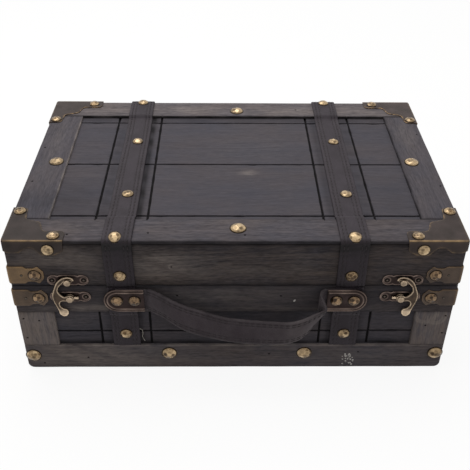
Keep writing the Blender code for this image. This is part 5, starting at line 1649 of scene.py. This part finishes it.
def makeHandle():
    # The handle's leather band in two halves that meet in the middle. Each runs out from under its plate.
    # Its section is carried along the stations' line
    look = handleBand
    line = smoothLine(look["stations"], 8)
    tabEnd = (look["tabEnd"] / look["halfSpan"]) * 100
    lead = np.linspace(-tabEnd, -100.4, 12)[:, None] * np.array([[1, 0, 0, 0]])
    line = np.concatenate((lead, line, -lead[::-1] * np.array([[1, 0, 0, 0]])))
    along, out, drop, lean = line.T
    lean = np.radians(lean)
    zero = 0 * lean
    centre = np.stack((
        along / 100 * look["halfSpan"],
        -trunk["halfY"] - look["out"] - out / 100 * look["bulge"],
        handlePlate["middleZ"] - drop / 100 * look["droop"],
    ), -1)
    across = np.stack((zero, np.sin(lean), np.cos(lean)), -1)
    facing = unit(np.cross(unit(np.gradient(centre, axis=0)), across))
    length = runLength(centre)
    section, rub, dark = bandProfile(look)
    section = section - (0, look["thick"] / 2)
    # a painted highlight on the right half, where it stands out from the plates
    highlightFrom, highlightOver, highlightMost = look["rightWear"]
    wear = highlightMost * smoothStep((along - highlightFrom) / highlightOver) * (out > 10)
    thins = look["thins"]
    inPlate = smoothStep((np.abs(centre[:, 0]) - look["halfSpan"] + thins) / thins) * (out < 10)
    inPlate = inPlate[:, None, None]
    thin = 1 - inPlate * (1 - look["tab"] / (look["thick"] + look["crown"]))
    roundFrom, roundOver = look["tabRound"]
    past = np.clip((np.abs(centre[:, 0]) - roundFrom) / roundOver, 0, 1)
    narrow = np.sqrt(np.maximum(1 - past**2, 0.02))[:, None]
    half = int(np.argmin(np.abs(centre[:, 0])))
    creases = [(np.interp(place, along, length), *rest) for place, *rest in look["creases"]]
    for side, order, sign in (("Left", slice(0, half + 1), -1), ("Right", slice(half, None), 1)):
        shape = carried(
            centre[order], across[order] * narrow[order], facing[order] * thin[order, :, 0],
            section, length[order], rub[None] + wear[order, None], dark, 31,
            creases if side == "Left" else (),
        )
        lower = side.lower()
        piece = addPiece(f"handle{side}Half", None, [shape], [handleLeather],
                         ["handle", f"handle_{lower}_tab"], sharp=60)
        start, end = look["turnsFrom"][side]
        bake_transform(piece)
        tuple(start)
        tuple(end)
        outer = np.abs(centre[order, 0]) < look["halfSpan"] + look["sewnPast"]
        rows = [
            stitches(
                centre[order][outer], across[order][outer], facing[order][outer],
                length[order][outer] - length[order][outer][0], place * (look["width"] / 2 - seam),
                look["thick"] / 2 + look["crown"] * 0.35,
            )
            for place in (-1, 1)
            for seam in look["seams"]
        ]
        sewn = addPiece(f"handle{side}Stitches", None, rows, [thread])
        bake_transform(sewn)
        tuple(start)
        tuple(end)
        y = -trunk["halfY"] - handlePlate["back"]
        middle = handlePlate["middleZ"]
        plate = frontFace(mirrored(handlePlatePart(), sign), sign * handlePlate["inner"], y, middle)
        piece = addPiece(f"handle{side}Plate", "base", [plate], [stampedBronze], [f"handle_{lower}_plate"],
                         sharp=60)
        finishSheet(piece, plateLook["fineLip"])
        # these nails are dulled: painted shade
        heads = [
            nailAt("small", 40 + sign + 3 * number, (sign * place, y - handlePlate["level"], middle),
                   (0, -1, 0), -0.15)
            for number, place in enumerate(handlePlate["nails"])
        ]
        addPiece(f"handle{side}PlateNails", "base", heads, [nailBronze])


hingeLook = dict(
    middle=0.055,  # from the middle of the trunk
    screwAside=0.0078,
    screwUp=0.0109,  # above and below the seam
    out=0.0013,  # face of a leaf above the back
    screw=0.0018,  # radius of a head
)


def makeHinges():
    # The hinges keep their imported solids, with an aged finish, and get two screw heads on each leaf
    heads = {"base": [], "lid": []}
    for side, sign in (("left", -1), ("right", 1)):
        for name in ("base_leaf", "lid_leaf", "pin"):
            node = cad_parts[f"hinge_{side}_{name}"]
            node.data.materials.clear()
            node.data.materials.append(plateBronze)
        for body, up in (("base", -1), ("lid", 1)):
            for place in (-1, 1):
                x = sign * hingeLook["middle"] + place * hingeLook["screwAside"]
                at = x, trunk["halfY"] + hingeLook["out"], trunk["seam"] + up * hingeLook["screwUp"]
                heads[body].append(placed(bradHead(hingeLook["screw"]), (-1, 0, 0), (0, 0, 1), (0, 1, 0), at))
    for body, parts in heads.items():
        addPiece(f"{body}HingeScrews", body, parts, [iron])


# dried paint: name, middle (x, z), reach along and up, how many specks, seed
flecks = (
    ("bottomRailFlecks", (0.0942, 0.0091), (0.0030, 0.0028), 34, 4),
    ("topRailFleck", (0.0452, 0.0735), (0.0006, 0.0006), 2, 9),
)
fleckRadius = (0.0003, 0.0009)  # least and largest
looseThreadLine = (
    (-0.0774, -0.1122, 0.0430), (-0.0743, -0.1120, 0.0415), (-0.0738, -0.1118, 0.0371),
    (-0.0744, -0.1117, 0.0338), (-0.0727, -0.1116, 0.0290),
)
looseThreadRadius = 0.0003


def makeFlecks():
    # A few dried specks of white paint on the front: low domes scattered round two places
    for name, (x, z), (reachX, reachZ), count, seed in flecks:
        draw = np.random.default_rng(seed)
        specks = []
        for _ in range(count):
            radius = draw.uniform(*fleckRadius)
            profile = [(0, 0.00025), (radius * 0.6, 0.0002), (radius, 0), (radius, -0.0002), (0, -0.0002)]
            speck = turnedPart(profile, 9)
            place = x + draw.normal(0, reachX), -trunk["halfY"], z + draw.normal(0, reachZ)
            specks.append(frontFace(speck, *place))
        addPiece(name, "base", specks, [paint])


def makeLooseThread():
    # a frayed end of pale thread that hangs from the edge of the left strap: a round section along a line
    line = smoothLine(looseThreadLine, 6)
    ahead = unit(np.gradient(line, axis=0))
    out = np.broadcast_to((0.0, -1.0, 0.0), line.shape)
    turn = np.linspace(0, 2 * math.pi, 6, endpoint=False)
    section = looseThreadRadius * np.stack((np.cos(turn), np.sin(turn)), -1)
    plain = np.zeros(len(turn))
    part = carried(line, np.cross(ahead, out), out, section, runLength(line), plain, plain, 3)
    addPiece("looseThread", "base", [part], [looseThread])


makeFlecks()
makeCornerFittings()
makeLatches()
makeHandle()
makeHinges()
makeLooseThread()
print("fittings and handle made")


# Room, light and camera

photoCamera = dict(lens=56.68, pitch=36.13, yaw=1.047, roll=-0.654, place=(-0.008942, -0.54492, 0.45109))
studio = dict(
    ambient=0.38,  # light from all round, as a share of full
    keyPower=9.6,  # watts, from a large soft box overhead and a little behind
    keySize=1.1,
    keyPlace=(-0.25, 0.30, 1.30),
    floor="#f4f3f1",
    floorDim="#8c8b8a",  # what the floor throws back on the trunk
    floorGlow=1.05,  # light of its own, so that it meets the white backdrop without an edge
    floorGlowShare=0.86,
    floorReach=6,
)


def makeRoom():
    # a white backdrop with soft light from all round, a pale floor that keeps the shadow, and one soft box

    def seenDirectly(addNode):
        # 1 for what the camera sees itself, through glass or in a reflection, and 0 for soft light
        ray = addNode("LightPath").node.outputs
        seen = addNode("Math", {0: ray["Is Camera Ray"], 1: ray["Is Transmission Ray"]}, operation="MAXIMUM")
        return addNode("Math", {0: seen, 1: ray["Is Glossy Ray"]}, operation="MAXIMUM")

    world = bpy.data.worlds.new("studio")
    bpy.context.scene.world = world
    addNode = nodeAdder(world)
    soft = addNode("Background", {0: "#ffffff", 1: studio["ambient"]})
    white = addNode("Background", {0: "#ffffff", 1: 1.0})
    addNode("OutputWorld", {"Surface": addNode("MixShader", {0: seenDirectly(addNode), 1: soft, 2: white})})

    floorFinish = bpy.data.materials.new("pale floor")
    addNode = nodeAdder(floorFinish)
    paper = addNode("BsdfDiffuse", {"Color": studio["floor"]})
    glow = addNode("Emission", {"Color": "#ffffff", "Strength": studio["floorGlow"]})
    pale = addNode("MixShader", {0: studio["floorGlowShare"], 1: paper, 2: glow})
    dim = addNode("BsdfDiffuse", {"Color": studio["floorDim"]})
    addNode("OutputMaterial", {"Surface": addNode("MixShader", {0: seenDirectly(addNode), 1: dim, 2: pale})})
    reach = np.linspace(-studio["floorReach"], studio["floorReach"], 3)
    points = np.stack(np.meshgrid(reach, reach, [0.0], indexing="ij"), -1)[:, :, 0]
    points[..., 2] = -0.0001
    floor = addPiece("floor", None, [gridPart(points, flip=True)], [floorFinish], weld=False)

    key = bpy.data.lights.new("overhead soft box", "AREA")
    key.energy = studio["keyPower"]
    key.size = studio["keySize"]
    lamp = bpy.data.objects.new("overhead soft box", key)
    bpy.context.scene.collection.objects.link(lamp)
    lamp.location = studio["keyPlace"]
    lamp.rotation_euler = (Vector((0, 0, 0.08)) - lamp.location).to_track_quat("-Z", "Y").to_euler()


def makeCamera():
    # the photograph's view, from its pitch, yaw and roll
    pitch, yaw, roll = (math.radians(photoCamera[turn]) for turn in ("pitch", "yaw", "roll"))
    ahead = Vector((math.sin(yaw) * math.cos(pitch), math.cos(yaw) * math.cos(pitch), -math.sin(pitch)))
    level = Vector((math.cos(yaw), -math.sin(yaw), 0))
    down = ahead.cross(level)
    right = math.cos(roll) * level + math.sin(roll) * down
    under = -math.sin(roll) * level + math.cos(roll) * down
    turn = Matrix((right, -under, -ahead)).transposed().to_4x4()
    lens = bpy.data.cameras.new("camera")
    lens.lens = photoCamera["lens"]
    lens.sensor_width = 36
    camera = bpy.data.objects.new("camera", lens)
    bpy.context.scene.collection.objects.link(camera)
    camera.matrix_world = Matrix.Translation(photoCamera["place"]) @ turn
    bpy.context.scene.camera = camera


makeRoom()
makeCamera()
bpy.context.scene.view_settings.view_transform = "Standard"
bpy.context.view_layer.update()
